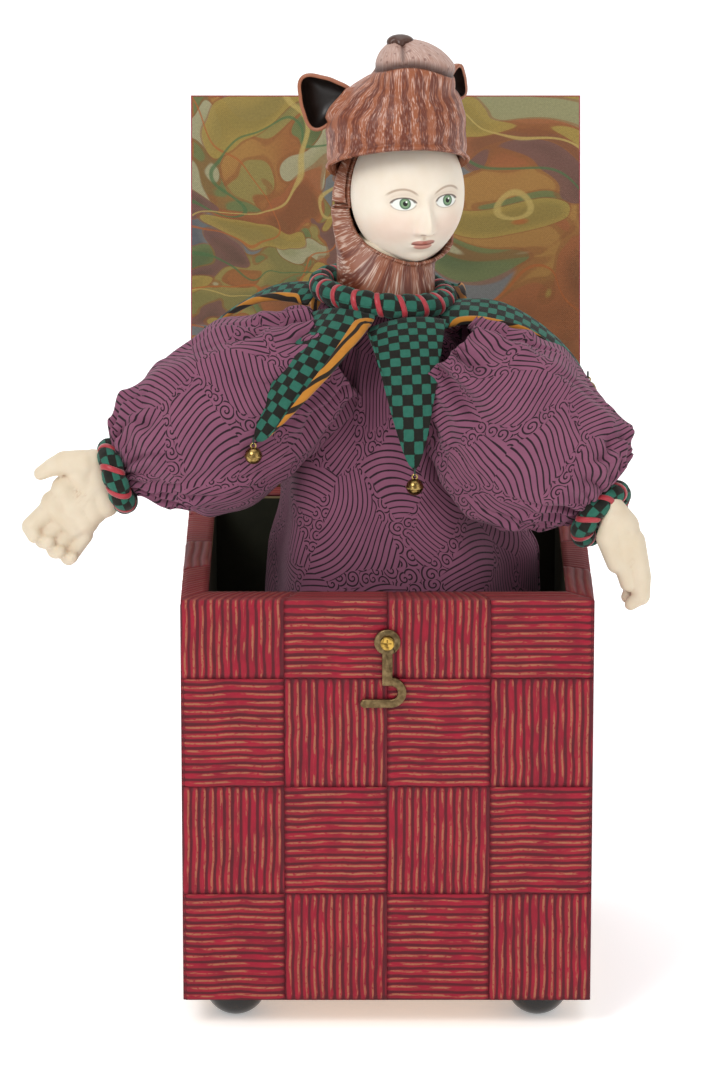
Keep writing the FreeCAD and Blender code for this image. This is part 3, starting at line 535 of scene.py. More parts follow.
def painted_features(tree, colour):
    """China-painted doll's face: green irises, fine brows, closed brick-red lips, a blush."""
    place = in_mm(tree, "face")
    place = add(tree, "VectorMath MULTIPLY", place, (1, 1, 0))
    parts = add(tree, "SeparateXYZ", place)
    for side in (-1, 1):
        blush, _ = oval(tree, place, (9.5 * side, -8.5), (7.0, 5.5), 0.6)
        colour = add(tree, "Mix", add(tree, "Math MULTIPLY", blush, 0.28), colour, srgb("#d99f8c"))
        # painted shade: a darker greyish brown over each eye socket
        socket, _ = oval(tree, place, (7.6 * side, 1.6), (5.4, 3.6), 0.5)
        colour = add(tree, "Mix", add(tree, "Math MULTIPLY", socket, 0.28), colour, srgb("#b79a86"))
        white, reach = oval(tree, place, (7.6 * side, 0.3), (3.9, 2.05), 0.06)
        colour = add(tree, "Mix", white, colour, srgb("#e4e6df"))
        iris, ring = oval(tree, place, (7.6 * side + 0.5, 0.45), (1.85, 1.85), 0.08)
        green = add(tree, "Mix", between(tree, ring, 0.55, 1.0), srgb("#7f9d77"), srgb("#3d5a47"))
        colour = add(tree, "Mix", add(tree, "Math MULTIPLY", iris, white), colour, green)
        pupil, _ = oval(tree, place, (7.6 * side + 0.5, 0.45), (0.8, 0.8), 0.1)
        colour = add(tree, "Mix", pupil, colour, srgb("#15120f"))
        glint, _ = oval(tree, place, (7.6 * side + 0.95, 1.0), (0.3, 0.3), 0.2)
        colour = add(tree, "Mix", glint, colour, srgb("#f4f4f0"))
        # upper lash, lower lid and brow: an arc of an oval's edge, kept above or below a height
        _, arch = oval(tree, place, (7.9 * side, -0.6), (6.1, 6.0), 0.1)
        for ring, at, out, full, low, high, strength, code in (
                (reach, 1.0, 0.17, 0.08, 0.2, 0.9, 0.85, "#4b382e"),
                (reach, 1.03, 0.1, 0.04, 0.2, -0.4, 0.5, "#8f7461"),
                (arch, 1.0, 0.09, 0.03, 2.6, 4.2, 0.6, "#8c6a4f")):
            off = add(tree, "Math ABSOLUTE", add(tree, "Math SUBTRACT", ring, at))
            arc = add(tree, "Math MULTIPLY", between(tree, off, out, full),
                      between(tree, parts.outputs["Y"], low, high))
            colour = add(tree, "Mix", add(tree, "Math MULTIPLY", arc, strength), colour, srgb(code))
        nostril, _ = oval(tree, place, (1.75 * side, -10.1), (0.75, 0.4), 0.4)
        colour = add(tree, "Mix", add(tree, "Math MULTIPLY", nostril, 0.6), colour, srgb("#8d5d4c"))
        lobe, _ = oval(tree, place, (1.6 * side, -13.75), (2.5, 0.95), 0.15)
        colour = add(tree, "Mix", add(tree, "Math MULTIPLY", lobe, 0.85), colour, srgb("#a95f52"))
    lower, _ = oval(tree, place, (0, -15.1), (3.2, 1.25), 0.15)
    colour = add(tree, "Mix", add(tree, "Math MULTIPLY", lower, 0.8), colour, srgb("#b86d5e"))
    square = add(tree, "Math MULTIPLY", parts.outputs["X"], parts.outputs["X"])
    curve = add(tree, "Math MULTIPLY_ADD", square, 0.012, -14.45)
    off = add(tree, "Math ABSOLUTE", add(tree, "Math SUBTRACT", parts.outputs["Y"], curve))
    parting = add(tree, "Math MULTIPLY", between(tree, off, 0.32, 0.1),
                  between(tree, add(tree, "Math ABSOLUTE", parts.outputs["X"]), 4.3, 3.6))
    return add(tree, "Mix", add(tree, "Math MULTIPLY", parting, 0.8), colour, srgb("#6d352d"))


def fur_glaze(name, base, rust, pale, rust_share):
    """Modelled clay in brown underglaze: rust stripes wiped back and short pale brush strokes."""
    made, tree, shader = material(name, Roughness=0.46, Specular_IOR_Level=0.45)
    cloth = in_mm(tree, "cloth")
    tone = grain(tree, cloth, 6, 4)
    colour = add(tree, "Mix", tone, srgb(base), srgb(rust))
    share = add(tree, "Attribute", attribute_name="stripe").outputs["Fac"]
    across = add(tree, "SeparateXYZ", cloth).outputs["X"]
    sway = add(tree, "Math MULTIPLY", grain(tree, cloth, 5, 2, stretch=(1, 2, 1)), 5.0)
    saw = add(tree, "Math FRACT", add(tree, "Math DIVIDE", add(tree, "Math ADD", across, sway), 6.4))
    off = add(tree, "Math ABSOLUTE", add(tree, "Math SUBTRACT", saw, 0.5))
    width = add(tree, "Math MULTIPLY", share, rust_share)
    stripe = between(tree, off, width, add(tree, "Math SUBTRACT", width, 0.12))
    ragged = between(tree, grain(tree, cloth, 0.8, 3, stretch=(0.8, 5, 1)), 0.3, 0.5)
    stripe = add(tree, "Math MULTIPLY", stripe, ragged)
    colour = add(tree, "Mix", add(tree, "Math MULTIPLY", stripe, 0.92), colour, srgb("#5f2613"))
    brush = grain(tree, cloth, 0.75, 2, stretch=(0.75, 6, 1), roughness=0.6)
    patch = grain(tree, cloth, 8, 2)
    hair = add(tree, "Math MULTIPLY", between(tree, brush, 0.50, 0.62), between(tree, patch, 0.30, 0.55))
    spared = add(tree, "Math SUBTRACT", 0.75, add(tree, "Math MULTIPLY", stripe, 0.5))
    hair = add(tree, "Math MULTIPLY", hair, spared)
    colour = add(tree, "Mix", hair, colour, srgb(pale))
    muzzle = add(tree, "Attribute", attribute_name="muzzle").outputs["Fac"]
    pink = add(tree, "Mix", between(tree, brush, 0.3, 0.8), srgb("#a07a6b"), srgb("#c6aca1"))
    dots = add(tree, "TexVoronoi", in_mm(tree), Scale=0.42)
    dots = between(tree, dots.outputs["Distance"], 0.3, 0.18)
    pink = add(tree, "Mix", add(tree, "Math MULTIPLY", dots, 0.6), pink, srgb("#6b4237"))
    colour = add(tree, "Mix", muzzle, colour, pink)
    # painted shade: near black-brown where the cap's mouth creases under its overhanging lip and along the line
    # up to the nose
    crease = add(tree, "Attribute", attribute_name="crease").outputs["Fac"]
    colour = add(tree, "Mix", crease, colour, srgb("#3b1d14"))
    feed(tree, shader.inputs["Base Color"], colour)
    raised(tree, shader, brush, 0.12, 0.7)
    return made


def plain_glaze(name, low, high, rough=0.4):
    """Brushed underglaze colour on clay, a little uneven."""
    made, tree, shader = material(name, Roughness=rough, Specular_IOR_Level=0.45)
    place = in_mm(tree)
    colour = add(tree, "Mix", grain(tree, place, 2.2, 4), srgb(low), srgb(high))
    feed(tree, shader.inputs["Base Color"], colour)
    raised(tree, shader, grain(tree, place, 0.5, 3), 0.05, 0.5)
    return made


def thread_cotton():
    """Twisted sewing thread."""
    made, tree, shader = material("dark sewing thread", Roughness=0.8)
    colour = add(tree, "Mix", grain(tree, in_mm(tree), 0.3, 2), srgb("#1d2a24"), srgb("#2f443a"))
    feed(tree, shader.inputs["Base Color"], colour)
    return made


COMBED = combed_paper()
RED_PAPER = plain_red_paper()
INSIDE = inside_paper()
MARBLED = marbled_cloth()
ENAMEL = black_enamel()
BRASS = antique_brass("antiqued brass", "#84704f", "#5a4a32", 0.33)
# the hook's screw gets a lighter brass than the hook: painted highlight
SCREW_BRASS = antique_brass("brass lightened for painted highlight", "#c9a24f", "#6b5228", 0.28)
BELL_BRASS = antique_brass("polished bell brass", "#b89c60", "#6e5630", 0.24)
STEEL = spring_steel()
WOOD = bare_wood()
COTTON = printed_cotton()
CHECKED = checked_cotton()
LINING = striped_lining()
RIBBON = satin_ribbon()
HAND_CLAY = bisque("bisque porcelain hands", "#dccfba", "#cdbb9f")
FACE_CLAY = bisque("painted bisque porcelain face", painted=True)
HAT_GLAZE = fur_glaze("cap underglaze", "#985836", "#87482b", "#cdaa9c", 0.36)
HOOD_GLAZE = fur_glaze("hood underglaze", "#8d573f", "#84492f", "#d6bcab", 0.34)
EAR_IN = plain_glaze("black ear glaze", "#120d0b", "#221712")
EAR_OUT = plain_glaze("brown ear glaze", "#8a5138", "#a86a4b")
NOSE_GLAZE = plain_glaze("dark nose glaze", "#3a241d", "#56382c", 0.3)
THREAD = thread_cotton()


# ------------------------------------------------------------ box

PITCH = 2.8                 # mm between the comb's teeth
RIDGE = 0.42                # mm, height of a ridge
WRAP = 9.2                  # paper that goes on over the rim


def combed_square(across, along, seed):
    """Height from 0 to 1 of the ridges at a point of one combed square, and how far the
    point is from the ridge's middle, -1 to 1."""
    swing = 0.55 * waver(along / 13, seed * 3.1) + 0.22 * waver(along / 4.5, across / 9, seed * 7.7)
    place = (across + swing) / PITCH
    tooth = math.floor(place)
    side = (place - tooth - 0.5) * 2
    part = abs(side)
    full = 0.8 + 0.2 * waver(tooth * 1.7, along / 8, seed)
    width = 0.62 + 0.16 * waver(tooth * 2.3, along / 10, seed * 5.3)
    return full * (1 - smoothstep(width - 0.32, width + 0.28, part)), side


def combed_panel(name, rows, half_width, carry, body, first_upright, seed):
    """Four by four squares of combed paper, the comb turned a quarter in every other one.
    carry(x, t, height) gives the place of a point x across and t up the sheet."""
    squares = []
    for row, (t0, t1) in enumerate(rows):
        for column in range(4):
            x0 = -half_width + column * half_width / 2
            x1 = x0 + half_width / 2
            upright = (row + column) % 2 == (0 if first_upright else 1)
            number = seed + row * 4 + column
            width, length = x1 - x0, t1 - t0
            fine, coarse = round((width if upright else length) / PITCH * 6), 16
            shape = (fine, coarse) if upright else (coarse, fine)
            bm = bmesh.new()
            bmesh.ops.create_grid(bm, x_segments=shape[0], y_segments=shape[1], size=0.5)
            uv = bm.loops.layers.uv.new("comb")
            ridge = bm.verts.layers.float.new("ridge")
            flank = bm.verts.layers.float.new("flank")
            for face in bm.faces:
                for loop in face.loops:
                    a, b = (loop.vert.co.x + 0.5) * width, (loop.vert.co.y + 0.5) * length
                    loop[uv].uv = ((a, b) if upright else (b, a))
                    loop[uv].uv += Vector((number * 47.0, number * 61.0))
            for vert in bm.verts:
                a, b = (vert.co.x + 0.5) * width, (vert.co.y + 0.5) * length
                height, side = combed_square(a, b, number) if upright else combed_square(b, a, number)
                border = min(a, width - a, b, length - b)
                height *= 0.35 + 0.65 * smoothstep(-0.05, 0.6, border)
                vert[ridge], vert[flank] = height, side
                vert.co = carry(x0 + a, t0 + b, height * RIDGE)
            squares.append(bm)
    piece = put(name, joined_mesh(squares), [COMBED], body)
    wall(piece, 0.8)
    return piece


def over_rim(t, height):
    """(inset, z) on a sheet that goes up the wall, round the edge and in over the rim."""
    soft = 1.0
    bend = RIM_Z - 10.3 - soft
    if t <= bend:
        return RIDGE - height, 10.3 + t
    if t <= bend + soft * math.pi / 2:
        turn = (t - bend) / soft
        reach = soft - RIDGE + height
        return soft - reach * math.cos(turn), RIM_Z - soft + reach * math.sin(turn)
    past = t - bend - soft * math.pi / 2
    return soft + past, RIM_Z - RIDGE + height


def wall_carry(turn, half):
    """Carries a sheet on to the wall that faces -Y, turned about Z."""
    spin = Matrix.Rotation(turn, 3, "Z")

    def carry(x, t, height):
        inset, z = over_rim(t, height)
        edge = 0.5 * (1 - math.sqrt(max(0.0, 1 - max(0.0, (abs(x) - half + 0.8) / 0.8) ** 2)))
        mitre = (69.0 - max(inset, 0)) / 69.0 if z > RIM_Z - 1 else 1.0
        inset = inset + edge if z < RIM_Z - 1 else inset
        return spin @ Vector((x * mitre, FACE_Y + inset, z))
    return carry


def box_walls():
    flap = RIM_Z - 10.3 + WRAP - 0.45
    step = (RIM_Z - 28.2 - 10.3) / 3
    rows = [(0.0, step), (step, 2 * step), (2 * step, 3 * step), (3 * step, flap)]
    walls = (("front", 0, 69.0, False, 0), ("right", math.pi / 2, 68.6, True, 20),
             ("back", math.pi, 69.0, False, 40), ("left", -math.pi / 2, 68.6, True, 60))
    for name, turn, half, first, seed in walls:
        piece = combed_panel(name + "_combed_cover", rows, half, wall_carry(turn, half), "box", first, seed)
        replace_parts(piece, name + "_facing")
        dress(name + "_panel", WOOD)


def opened(point):
    """A point of the closed lid, on the open one."""
    return Matrix.Rotation(-LID_OPEN, 3, "X") @ (Vector(point) - HINGE) + HINGE


def lid():
    """Combed paper on the outside, with plain turned edges, over the board."""
    edges = fitted_copy("lid_facing", [RED_PAPER], "lid", 0.5, 3, "lid_paper_edges")
    front, back, top = -67.7, 69.0, 159.3
    step = (back - front) / 4
    rows = [(front + 0.3 + k * step, front + 0.3 + (k + 1) * step - (0.6 if k == 3 else 0)) for k in range(4)]
    outside = combed_panel("lid_combed_cover", rows, 68.7, lambda x, t, h: opened((x, t, top - 0.1 + h)),
                           "lid", True, 80)
    dress("lid_board", WOOD)
    cloth = bmesh.new()
    bmesh.ops.create_cube(cloth, size=1.0)
    bmesh.ops.scale(cloth, verts=cloth.verts, vec=(137.3, 136.0, 0.6))
    bmesh.ops.translate(cloth, verts=cloth.verts, vec=(0, 0.65, 153.1))
    bmesh.ops.bevel(cloth, geom=list(cloth.edges), offset=0.18, offset_type="OFFSET", segments=2,
                    profile=0.5, affect="EDGES", material=-1)
    for vert in cloth.verts:
        vert.co = opened(vert.co)
    piece = put("lid_marbled_lining", cloth, [MARBLED], "lid", smooth=False)
    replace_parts(piece, "lid_lining")


def feet():
    """Turned half balls, each with a small flat to stand on."""
    for name, x, y in (("front_left", -51.5, -51.5), ("front_right", 51.5, -51.5),
                       ("rear_left", -51.5, 51.5), ("rear_right", 51.5, 51.5)):
        radius = math.hypot(10.3, 3.0)
        start = math.asin(3.0 / radius)
        profile = [(0, 0), (2.6, 0)]
        for k in range(17):
            angle = start + (math.pi / 2 - start) * k / 16
            profile.append((radius * math.sin(angle), 10.3 - radius * math.cos(angle)))
        profile += [(radius - 0.2, 10.3), (0, 10.3)]
        bm = turned(profile, 64)
        bmesh.ops.translate(bm, vec=(x, y, 0), verts=bm.verts)
        piece = put("foot_ball_" + name, bm, [ENAMEL], "box")
        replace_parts(piece, "foot_" + name)


def dress(node, finish):
    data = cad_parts[node].data
    data.materials.clear()
    data.materials.append(finish)


def hardware():
    for node, finish, body, edge in (
            ("hook", BRASS, "hook", 0.35), ("hook_screw", SCREW_BRASS, "box", 0.25),
            ("box_hinge_leaves", BRASS, "box", 0.15), ("lid_hinge_leaves", BRASS, "lid", 0.15),
            ("hinge_pins", BRASS, "box", 0.15), ("lid_catch_pin", BRASS, "lid", 0.4),
            ("box_hinge_screws", BRASS, "box", 0.12), ("lid_hinge_screws", BRASS, "lid", 0.12),
            ("foot_screws", STEEL, "box", 0.2), ("shoulder_block", WOOD, "figure", 0.6),
            ("neck_post", WOOD, "figure", 0.4)):
        piece = fitted_copy(node, [finish], body, edge)
    dress("bottom_board", WOOD)
    dress("box_lining", INSIDE)
    for node in ("lower_spring_staples", "upper_spring_staples", "left_arm_wire", "right_arm_wire"):
        dress(node, STEEL)


# ------------------------------------------------------------ spring

def spring():
    """Conical coil of round wire, wide at the box's floor."""
    turns, low, high, wire = 8, 19.65, 217.05, 0.9
    steps = 28
    bm = bmesh.new()
    ring = bmesh.ops.create_circle(bm, segments=10, radius=wire, cap_ends=False)["verts"]
    bmesh.ops.rotate(bm, verts=ring, cent=(0, 0, 0), matrix=Matrix.Rotation(math.pi / 2, 3, "X"))
    bmesh.ops.translate(bm, verts=ring, vec=(34, 0, 0))
    edges = list(bm.edges)
    bmesh.ops.spin(bm, geom=list(ring) + edges, cent=(0, 0, 0), axis=(0, 0, 1), angle=2 * math.pi * turns,
                   dvec=(0, 0, (high - low) / (turns * steps)), steps=turns * steps)
    bmesh.ops.holes_fill(bm, edges=[e for e in bm.edges if e.is_boundary], sides=12)
    bmesh.ops.recalc_face_normals(bm, faces=bm.faces)
    for vert in bm.verts:
        share = min(max(vert.co.z / (high - low), 0), 1)
        radius = math.hypot(vert.co.x, vert.co.y)
        narrowed = radius - 21.0 * share
        vert.co.x *= narrowed / radius
        vert.co.y *= narrowed / radius
        vert.co += Vector((0, -8, low))
    piece = put("coil_spring", bm, [STEEL], "box")
    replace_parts(piece, "main_spring")
    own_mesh(piece)


# ------------------------------------------------------------ gown and sleeves

ROBE = {                    # height: half width, half depth, middle x, middle y
    "rx": [(19, 49), (90, 50), (150, 46.5), (170, 40), (190, 35), (212, 33), (226, 31),
           (235, 23), (240, 18.4)],
    "ry": [(19, 46), (90, 45), (150, 39), (170, 35), (190, 29.5), (212, 22.5), (226, 20),
           (235, 19.5), (240, 18.4)],
    "cx": [(19, 3), (90, 4), (150, 5), (170, 2), (190, -1), (212, 0), (226, 0), (240, -1.5)],
    "cy": [(19, -3), (90, -4), (150, -6), (170, -6.5), (190, -7), (212, -8), (226, -8), (240, -8)],
}


def robe():
    """The gown's body: a cotton tube, gathered at the neck and falling in soft folds."""
    low, high = 19.6, 240.0

    def place(u, v):
        z = low + (high - low) * v
        angle = 2 * math.pi * u
        rx, ry, cx, cy = (table_value(ROBE[k], z) for k in ("rx", "ry", "cx", "cy"))
        swing = 0.35 * waver(v * 3, 4.0)
        folds = 2.6 * math.sin(5 * angle + 1.1 + swing * 3 + 0.8 * waver(u * 3, v * 2))
        folds *= smoothstep(232, 185, z)
        folds += 1.5 * waver(math.cos(angle) * 2.1, math.sin(angle) * 2.1, z / 34)
        pleats = 0.9 * math.sin(24 * angle + 3 * waver(math.cos(angle) * 2, math.sin(angle) * 2))
        pleats *= smoothstep(188, 226, z)
        pleats *= 1 - 0.6 * smoothstep(228, 240, z)
        out = folds + pleats - 1.2
        z += 1.9 * smoothstep(226, 240, z) * -math.cos(angle)
        return Vector((cx + (rx + out) * math.cos(angle), cy + (ry + out) * math.sin(angle), z))
    bm = mapped(260, 130, place, (330.0, 225.0), joined=True)
    bmesh.ops.recalc_face_normals(bm, faces=bm.faces)
    piece = put("gown_body", bm, [COTTON], "box")
    wall(piece, 0.5)
    settle(piece)
    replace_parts(piece, "robe")
    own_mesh(piece)


ARMS = {
    "left": {"side": -1, "rod_y": -39.5, "hand": (-105.5, 175.5), "wrist_at": 76.0, "drop": 4.0,
             "cuff": ((-0.9, 0, 2.1), (0.973, 0, 0.23)),
             "radius": [(-6, 17), (8, 19), (18, 21.5), (30, 24), (44, 25.5), (57, 23.5),
                        (67, 16.5), (74, 8.6)],
             "upper": [(-6, 17), (2, 21), (10, 26), (25, 32.5), (45, 32), (60, 26.5), (69, 17.5), (74, 8.6)]},
    "right": {"side": 1, "rod_y": -45.5, "hand": (79.5, 161.6), "wrist_at": 66.0, "drop": 2.0,
              "cuff": ((0.5, -1.5, 3.4), (0.866, -0.457, 0.2)),
              "radius": [(-6, 17), (8, 19), (17, 22.5), (28, 25.5), (39, 26.5), (50, 23.5),
                         (58, 16.5), (64, 8.6)],
              "upper": [(-6, 17), (2, 22), (10, 28), (22, 33), (42, 31.5), (54, 28), (60, 21), (64, 8.6)]},
}


def arm_place(arm, x, y, z):
    """A point x along the arm from the shoulder, y back and z up from it."""
    start = Vector((arm["side"] * 23.0, arm["rod_y"], 224.0))
    reach = Vector((arm["hand"][0] - start.x, 0, arm["hand"][1] - start.z)).normalized()
    up = Vector((-reach.z, 0, reach.x)) * (1 if arm["side"] > 0 else -1)
    return start + reach * x + Vector((0, y, 0)) + up * z


def sleeve(name):
    """A full sleeve gathered at the shoulder and into the cuff, with the cloth lapping over."""
    arm = ARMS[name]
    length = arm["wrist_at"] - 2.0
    seed = 11.0 if name == "left" else 37.0

    def place(u, v):
        along = -6.0 + (length + 6.0) * v
        angle = 2 * math.pi * u
        ring = (math.cos(angle), math.sin(angle))
        lower, upper = table_value(arm["radius"], along), table_value(arm["upper"], along)
        radius = lower + (upper - lower) * smoothstep(-0.4, 0.9, ring[1])
        wrist = smoothstep(length - 27, length - 3, along)
        shoulder = smoothstep(26, 4, along)
        gathers = math.sin(20 * angle + 4 * waver(ring[0] * 1.5, ring[1] * 1.5, seed))
        out = 1.35 * gathers * wrist + 1.1 * math.sin(13 * angle + seed) * shoulder
        # long soft folds that run from the gathers into the full part of the sleeve
        sweep = angle + 0.9 * v
        out += 2.0 * waver(math.cos(sweep) * 2.6, math.sin(sweep) * 2.6, v * 1.6 + seed)
        out += 0.9 * waver(math.cos(sweep) * 5.5, math.sin(sweep) * 5.5, v * 3.0 + seed * 2)
        crease = waver(math.cos(sweep) * 2.2, math.sin(sweep) * 2.2, v * 2.4 + seed * 3)
        out -= 2.2 * bell_curve(crease, 0.07) * (0.3 + wrist + shoulder)
        middle = 14.0 * (1 - v) + 2.5 * math.sin(math.pi * v)
        drop = arm["cuff"][0][2] * wrist - arm["drop"] * math.sin(math.pi * v)
        bag = 1.0 - 0.10 * ring[1]
        reach = (radius + out - 0.6) * (bag if ring[1] < 0 else 1.0)
        return arm_place(arm, along, middle + 0.88 * reach * ring[0], drop + reach * ring[1])
    bm = mapped(200, 110, place, (165.0, 100.0), joined=True)
    bmesh.ops.recalc_face_normals(bm, faces=bm.faces)
    piece = put(name + "_gathered_sleeve", bm, [COTTON], name + "_arm")
    wall(piece, 0.5)
    settle(piece)
    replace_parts(piece, name + "_sleeve")
    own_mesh(piece)


# ------------------------------------------------------------ padded rolls and ribbon

def roll_point(carry, ring_radius, tube, around, angle, lift=0.0):
    """A point on a padded ring: around is the turn of the ring, angle the turn round its section."""
    out = ring_radius + (tube + lift) * math.cos(angle)
    return carry(out * math.cos(around), out * math.sin(around), (tube + lift) * math.sin(angle))


def bound_roll(name, carry, ring_radius, tube, wraps, slant, body, roll_node, ribbon_node=None, start=0.0):
    """A stuffed cotton roll bound with ribbon, pulled in under each turn of it."""
    def pinch(around, angle):
        turn = (around - start + slant * math.sin(angle)) * wraps / (2 * math.pi)
        near = abs(turn - round(turn)) * 2 * math.pi / wraps * ring_radius
        return bell_curve(near, 1.5)

    def place(u, v):
        around, angle = 2 * math.pi * u, 2 * math.pi * v
        lift = -0.9 * pinch(around, angle) + 0.25 * waver(around * 6, angle)
        return roll_point(carry, ring_radius, tube, around, angle, lift)
    bm = mapped(max(96, wraps * 14), 28, place, (2 * math.pi * ring_radius, 2 * math.pi * tube), joined=True)
    bmesh.ops.recalc_face_normals(bm, faces=bm.faces)
    roll = put(name + "_padded_roll", bm, [CHECKED], body)
    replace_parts(roll, roll_node)
    bands = []
    for k in range(wraps):
        middle = start + 2 * math.pi * k / wraps
        half = 0.85 / ring_radius

        def strip(u, v, middle=middle, half=half):
            angle = 2 * math.pi * v
            around = middle - slant * math.sin(angle) + (u - 0.5) * 2 * half
            arch = 0.18 * (1 - (2 * u - 1) ** 2)
            return roll_point(carry, ring_radius, tube, around, angle, -0.42 + arch)
        bands.append(mapped(4, 26, strip, (1.7, 2 * math.pi * tube), joined=True))
    whole = joined_mesh(bands)
    bmesh.ops.recalc_face_normals(whole, faces=whole.faces)
    ribbon = put(name + "_ribbon_wraps", whole, [RIBBON], body)
    wall(ribbon, 0.3)
    settle(ribbon)
    if ribbon_node:
        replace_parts(ribbon, ribbon_node)
    return roll, ribbon


def collar():
    tilt = Matrix.Rotation(math.radians(6.0), 3, "Y")
    centre = Vector((-1.5, -8.0, 243.0))
    bound_roll("collar", lambda x, y, z: centre + tilt @ Vector((x, y, z)), 21.0, 4.3, 18, 0.055,
               "figure", "collar_roll", "collar_ribbon", 0.12)


def cuffs():
    for name in ("left", "right"):
        arm = ARMS[name]
        shift, axis = (Vector(part) for part in arm["cuff"])
        axis.normalize()
        across = (Vector((0, 0, 1)) - axis * axis.z).normalized()
        side = axis.cross(across)

        def carry(x, y, z, arm=arm, shift=shift, axis=axis, across=across, side=side):
            p = shift + across * x + side * y + axis * z
            return arm_place(arm, arm["wrist_at"] + 2.0 + p.x, p.y, p.z)
        roll, ribbon = bound_roll(name + "_cuff", carry, 9.2, 4.1, 8, 0.2, name + "_arm", name + "_cuff",
                                  None, 0.3)
        for piece in (roll, ribbon):
            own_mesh(piece)


# ------------------------------------------------------------ collar points and bells

POINTS = {                  # root, knee, tip, half width, outward way, turned-back edge (left, right), body
    "front_left": ((-15.5, -27.5, 240.5), (-28.5, -46.5, 226), (-44.6, -53.0, 203.0), 12.0, (-0.45, -0.85, 0.3),
                   (0.0, 6.0), "collar_tips"),
    "front_right": ((6.5, -31.0, 238.0), (8.2, -45.0, 223), (9.2, -47.0, 190.5), 12.8, (0.05, -1, 0.2),
                    (1.8, 0.0), "collar_tips"),
    "side_left": ((-22.0, -6.0, 242.5), (-42.0, 2.0, 240), (-62.0, 8.0, 225.5), 10.5, (-0.3, 0.0, 1),
                  (0.0, 3.5), "left_tip"),
    "side_right": ((18.5, -15.0, 237.5), (45.0, -17.0, 236.0), (68.0, -14.0, 215.5), 10.5, (0.45, -0.25, 1),
                   (3.0, 0.0), "right_tip"),
    "back_left": ((-13.0, 10.0, 241.0), (-18.0, 27.0, 231), (-22.0, 34.0, 197), 10.5, (-0.2, 1, 0.3),
                  (0.0, 1.5), "collar_tips"),
    "back_right": ((13.0, 9.0, 239.0), (20.0, 27.0, 230), (26.0, 34.0, 197), 10.5, (0.25, 1, 0.3),
                   (1.5, 0.0), "collar_tips"),
}


def turned_edge(s, crease, radius=0.75):
    """(across, out) of cloth s from the middle, rolled back on itself past its crease."""
    if s <= crease:
        return s, 0.0
    turn = (s - crease) / radius
    if turn < math.pi:
        return crease + radius * math.sin(turn), radius * (1 - math.cos(turn))
    return crease - (s - crease - math.pi * radius), 2 * radius


def collar_point(name):
    """A tapering cotton point, checked outside and lined in orange, with an edge folded back."""
    root, knee, tip, half, outward, folds, body = POINTS[name]
    root, knee, tip = Vector(root), Vector(knee), Vector(tip)
    outward = Vector(outward).normalized()
    middle = 2 * knee - (root + tip) / 2
    seed = sum(map(ord, name)) * 0.37
    length = (knee - root).length + (tip - knee).length
    width = 2 * half + sum(folds)

    def taper(v):
        return max(1 - v, 0.0) ** 0.6 + 0.03

    def place(u, v):
        centre = root * (1 - v) ** 2 + middle * 2 * v * (1 - v) + tip * v ** 2
        along = ((middle - root) * 2 * (1 - v) + (tip - middle) * 2 * v).normalized()
        side = outward.cross(along).normalized()
        away = along.cross(side).normalized()
        reach = half * taper(v)
        fold = folds[0] if u < 0.5 else folds[1]
        fold *= smoothstep(0.0, 0.12, v) * (1 - v) ** 0.6
        s = abs(2 * u - 1) * (reach + fold)
        across, out = turned_edge(s, reach)
        across = max(across, 0.0) * (-1 if u < 0.5 else 1)
        bow = 2.6 * (1 - (across / max(reach, 1)) ** 2) * (1 - v) - 1.0
        ripple = 0.8 * waver(across / 7 + seed, v * length / 16, seed) * smoothstep(0, 0.2, v)
        return centre + side * across + away * (bow + ripple + out)
    bm = mapped(48, 48, place, (width, length), flip=True)
    uv = bm.loops.layers.uv["cloth"]
    for face in bm.faces:
        for loop in face.loops:
            a, b = loop[uv].uv
            loop[uv].uv = ((a - width / 2) * taper(b / length), b)
    piece = put("collar_cloth_" + name, bm, [CHECKED, LINING])
    wall(piece, 0.6, inner=1, rim=0)
    settle(piece)
    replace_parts(piece, "collar_point_" + name)
    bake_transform(piece)
    bell(name, tip, body)


def bell(name, tip, body):
    """A pressed brass jingle bell on a thread: two halves crimped at the middle, slit below."""
    centre = tip - Vector((0, 0, 5.5))
    profile = []
    for k in range(29):
        angle = -math.pi / 2 + math.pi * k / 28
        ridge = 0.22 * bell_curve(angle, 0.09)
        profile.append((max((2.9 + ridge) * math.cos(angle), 0.0), 2.9 * math.sin(angle)))
    shell = turned(profile, 40)
    middles = [(f, f.calc_center_median()) for f in shell.faces]
    slit = [f for f, middle in middles if middle.z < -1.3 and abs(middle.y) < 0.34]
    bmesh.ops.delete(shell, geom=slit, context="FACES")
    loop = bmesh.new()
    ring = bmesh.ops.create_circle(loop, segments=8, radius=0.28)["verts"]
    bmesh.ops.translate(loop, verts=ring, vec=(0.85, 0, 0))
    bmesh.ops.spin(loop, geom=list(ring) + list(loop.edges), cent=(0, 0, 0), axis=(0, 1, 0),
                   angle=2 * math.pi, steps=20, use_merge=True)
    bmesh.ops.translate(loop, verts=loop.verts, vec=(0, 0, 3.45))
    for part in (shell, loop):
        bmesh.ops.recalc_face_normals(part, faces=part.faces)
        bmesh.ops.translate(part, verts=part.verts, vec=centre)
    piece = put("jingle_bell_" + name, shell, [BELL_BRASS], body)
    wall(piece, 0.3)
    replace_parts(piece, "bell_" + name)
    ring = put("bell_loop_" + name, loop, [BELL_BRASS], body)
    stitch = bmesh.new()
    bmesh.ops.create_cone(stitch, cap_ends=True, segments=8, radius1=0.35, radius2=0.3, depth=2.6)
    bmesh.ops.translate(stitch, verts=stitch.verts, vec=centre + Vector((0, 0, 5.0)))
    knot = put("bell_thread_" + name, stitch, [THREAD], body)


# ------------------------------------------------------------ head

HEAD, HEAD_R = Vector((6.9, -9.0, 277.0)), (19.2, 18.8, 24.4)
HEAD_TURN = math.radians(20)


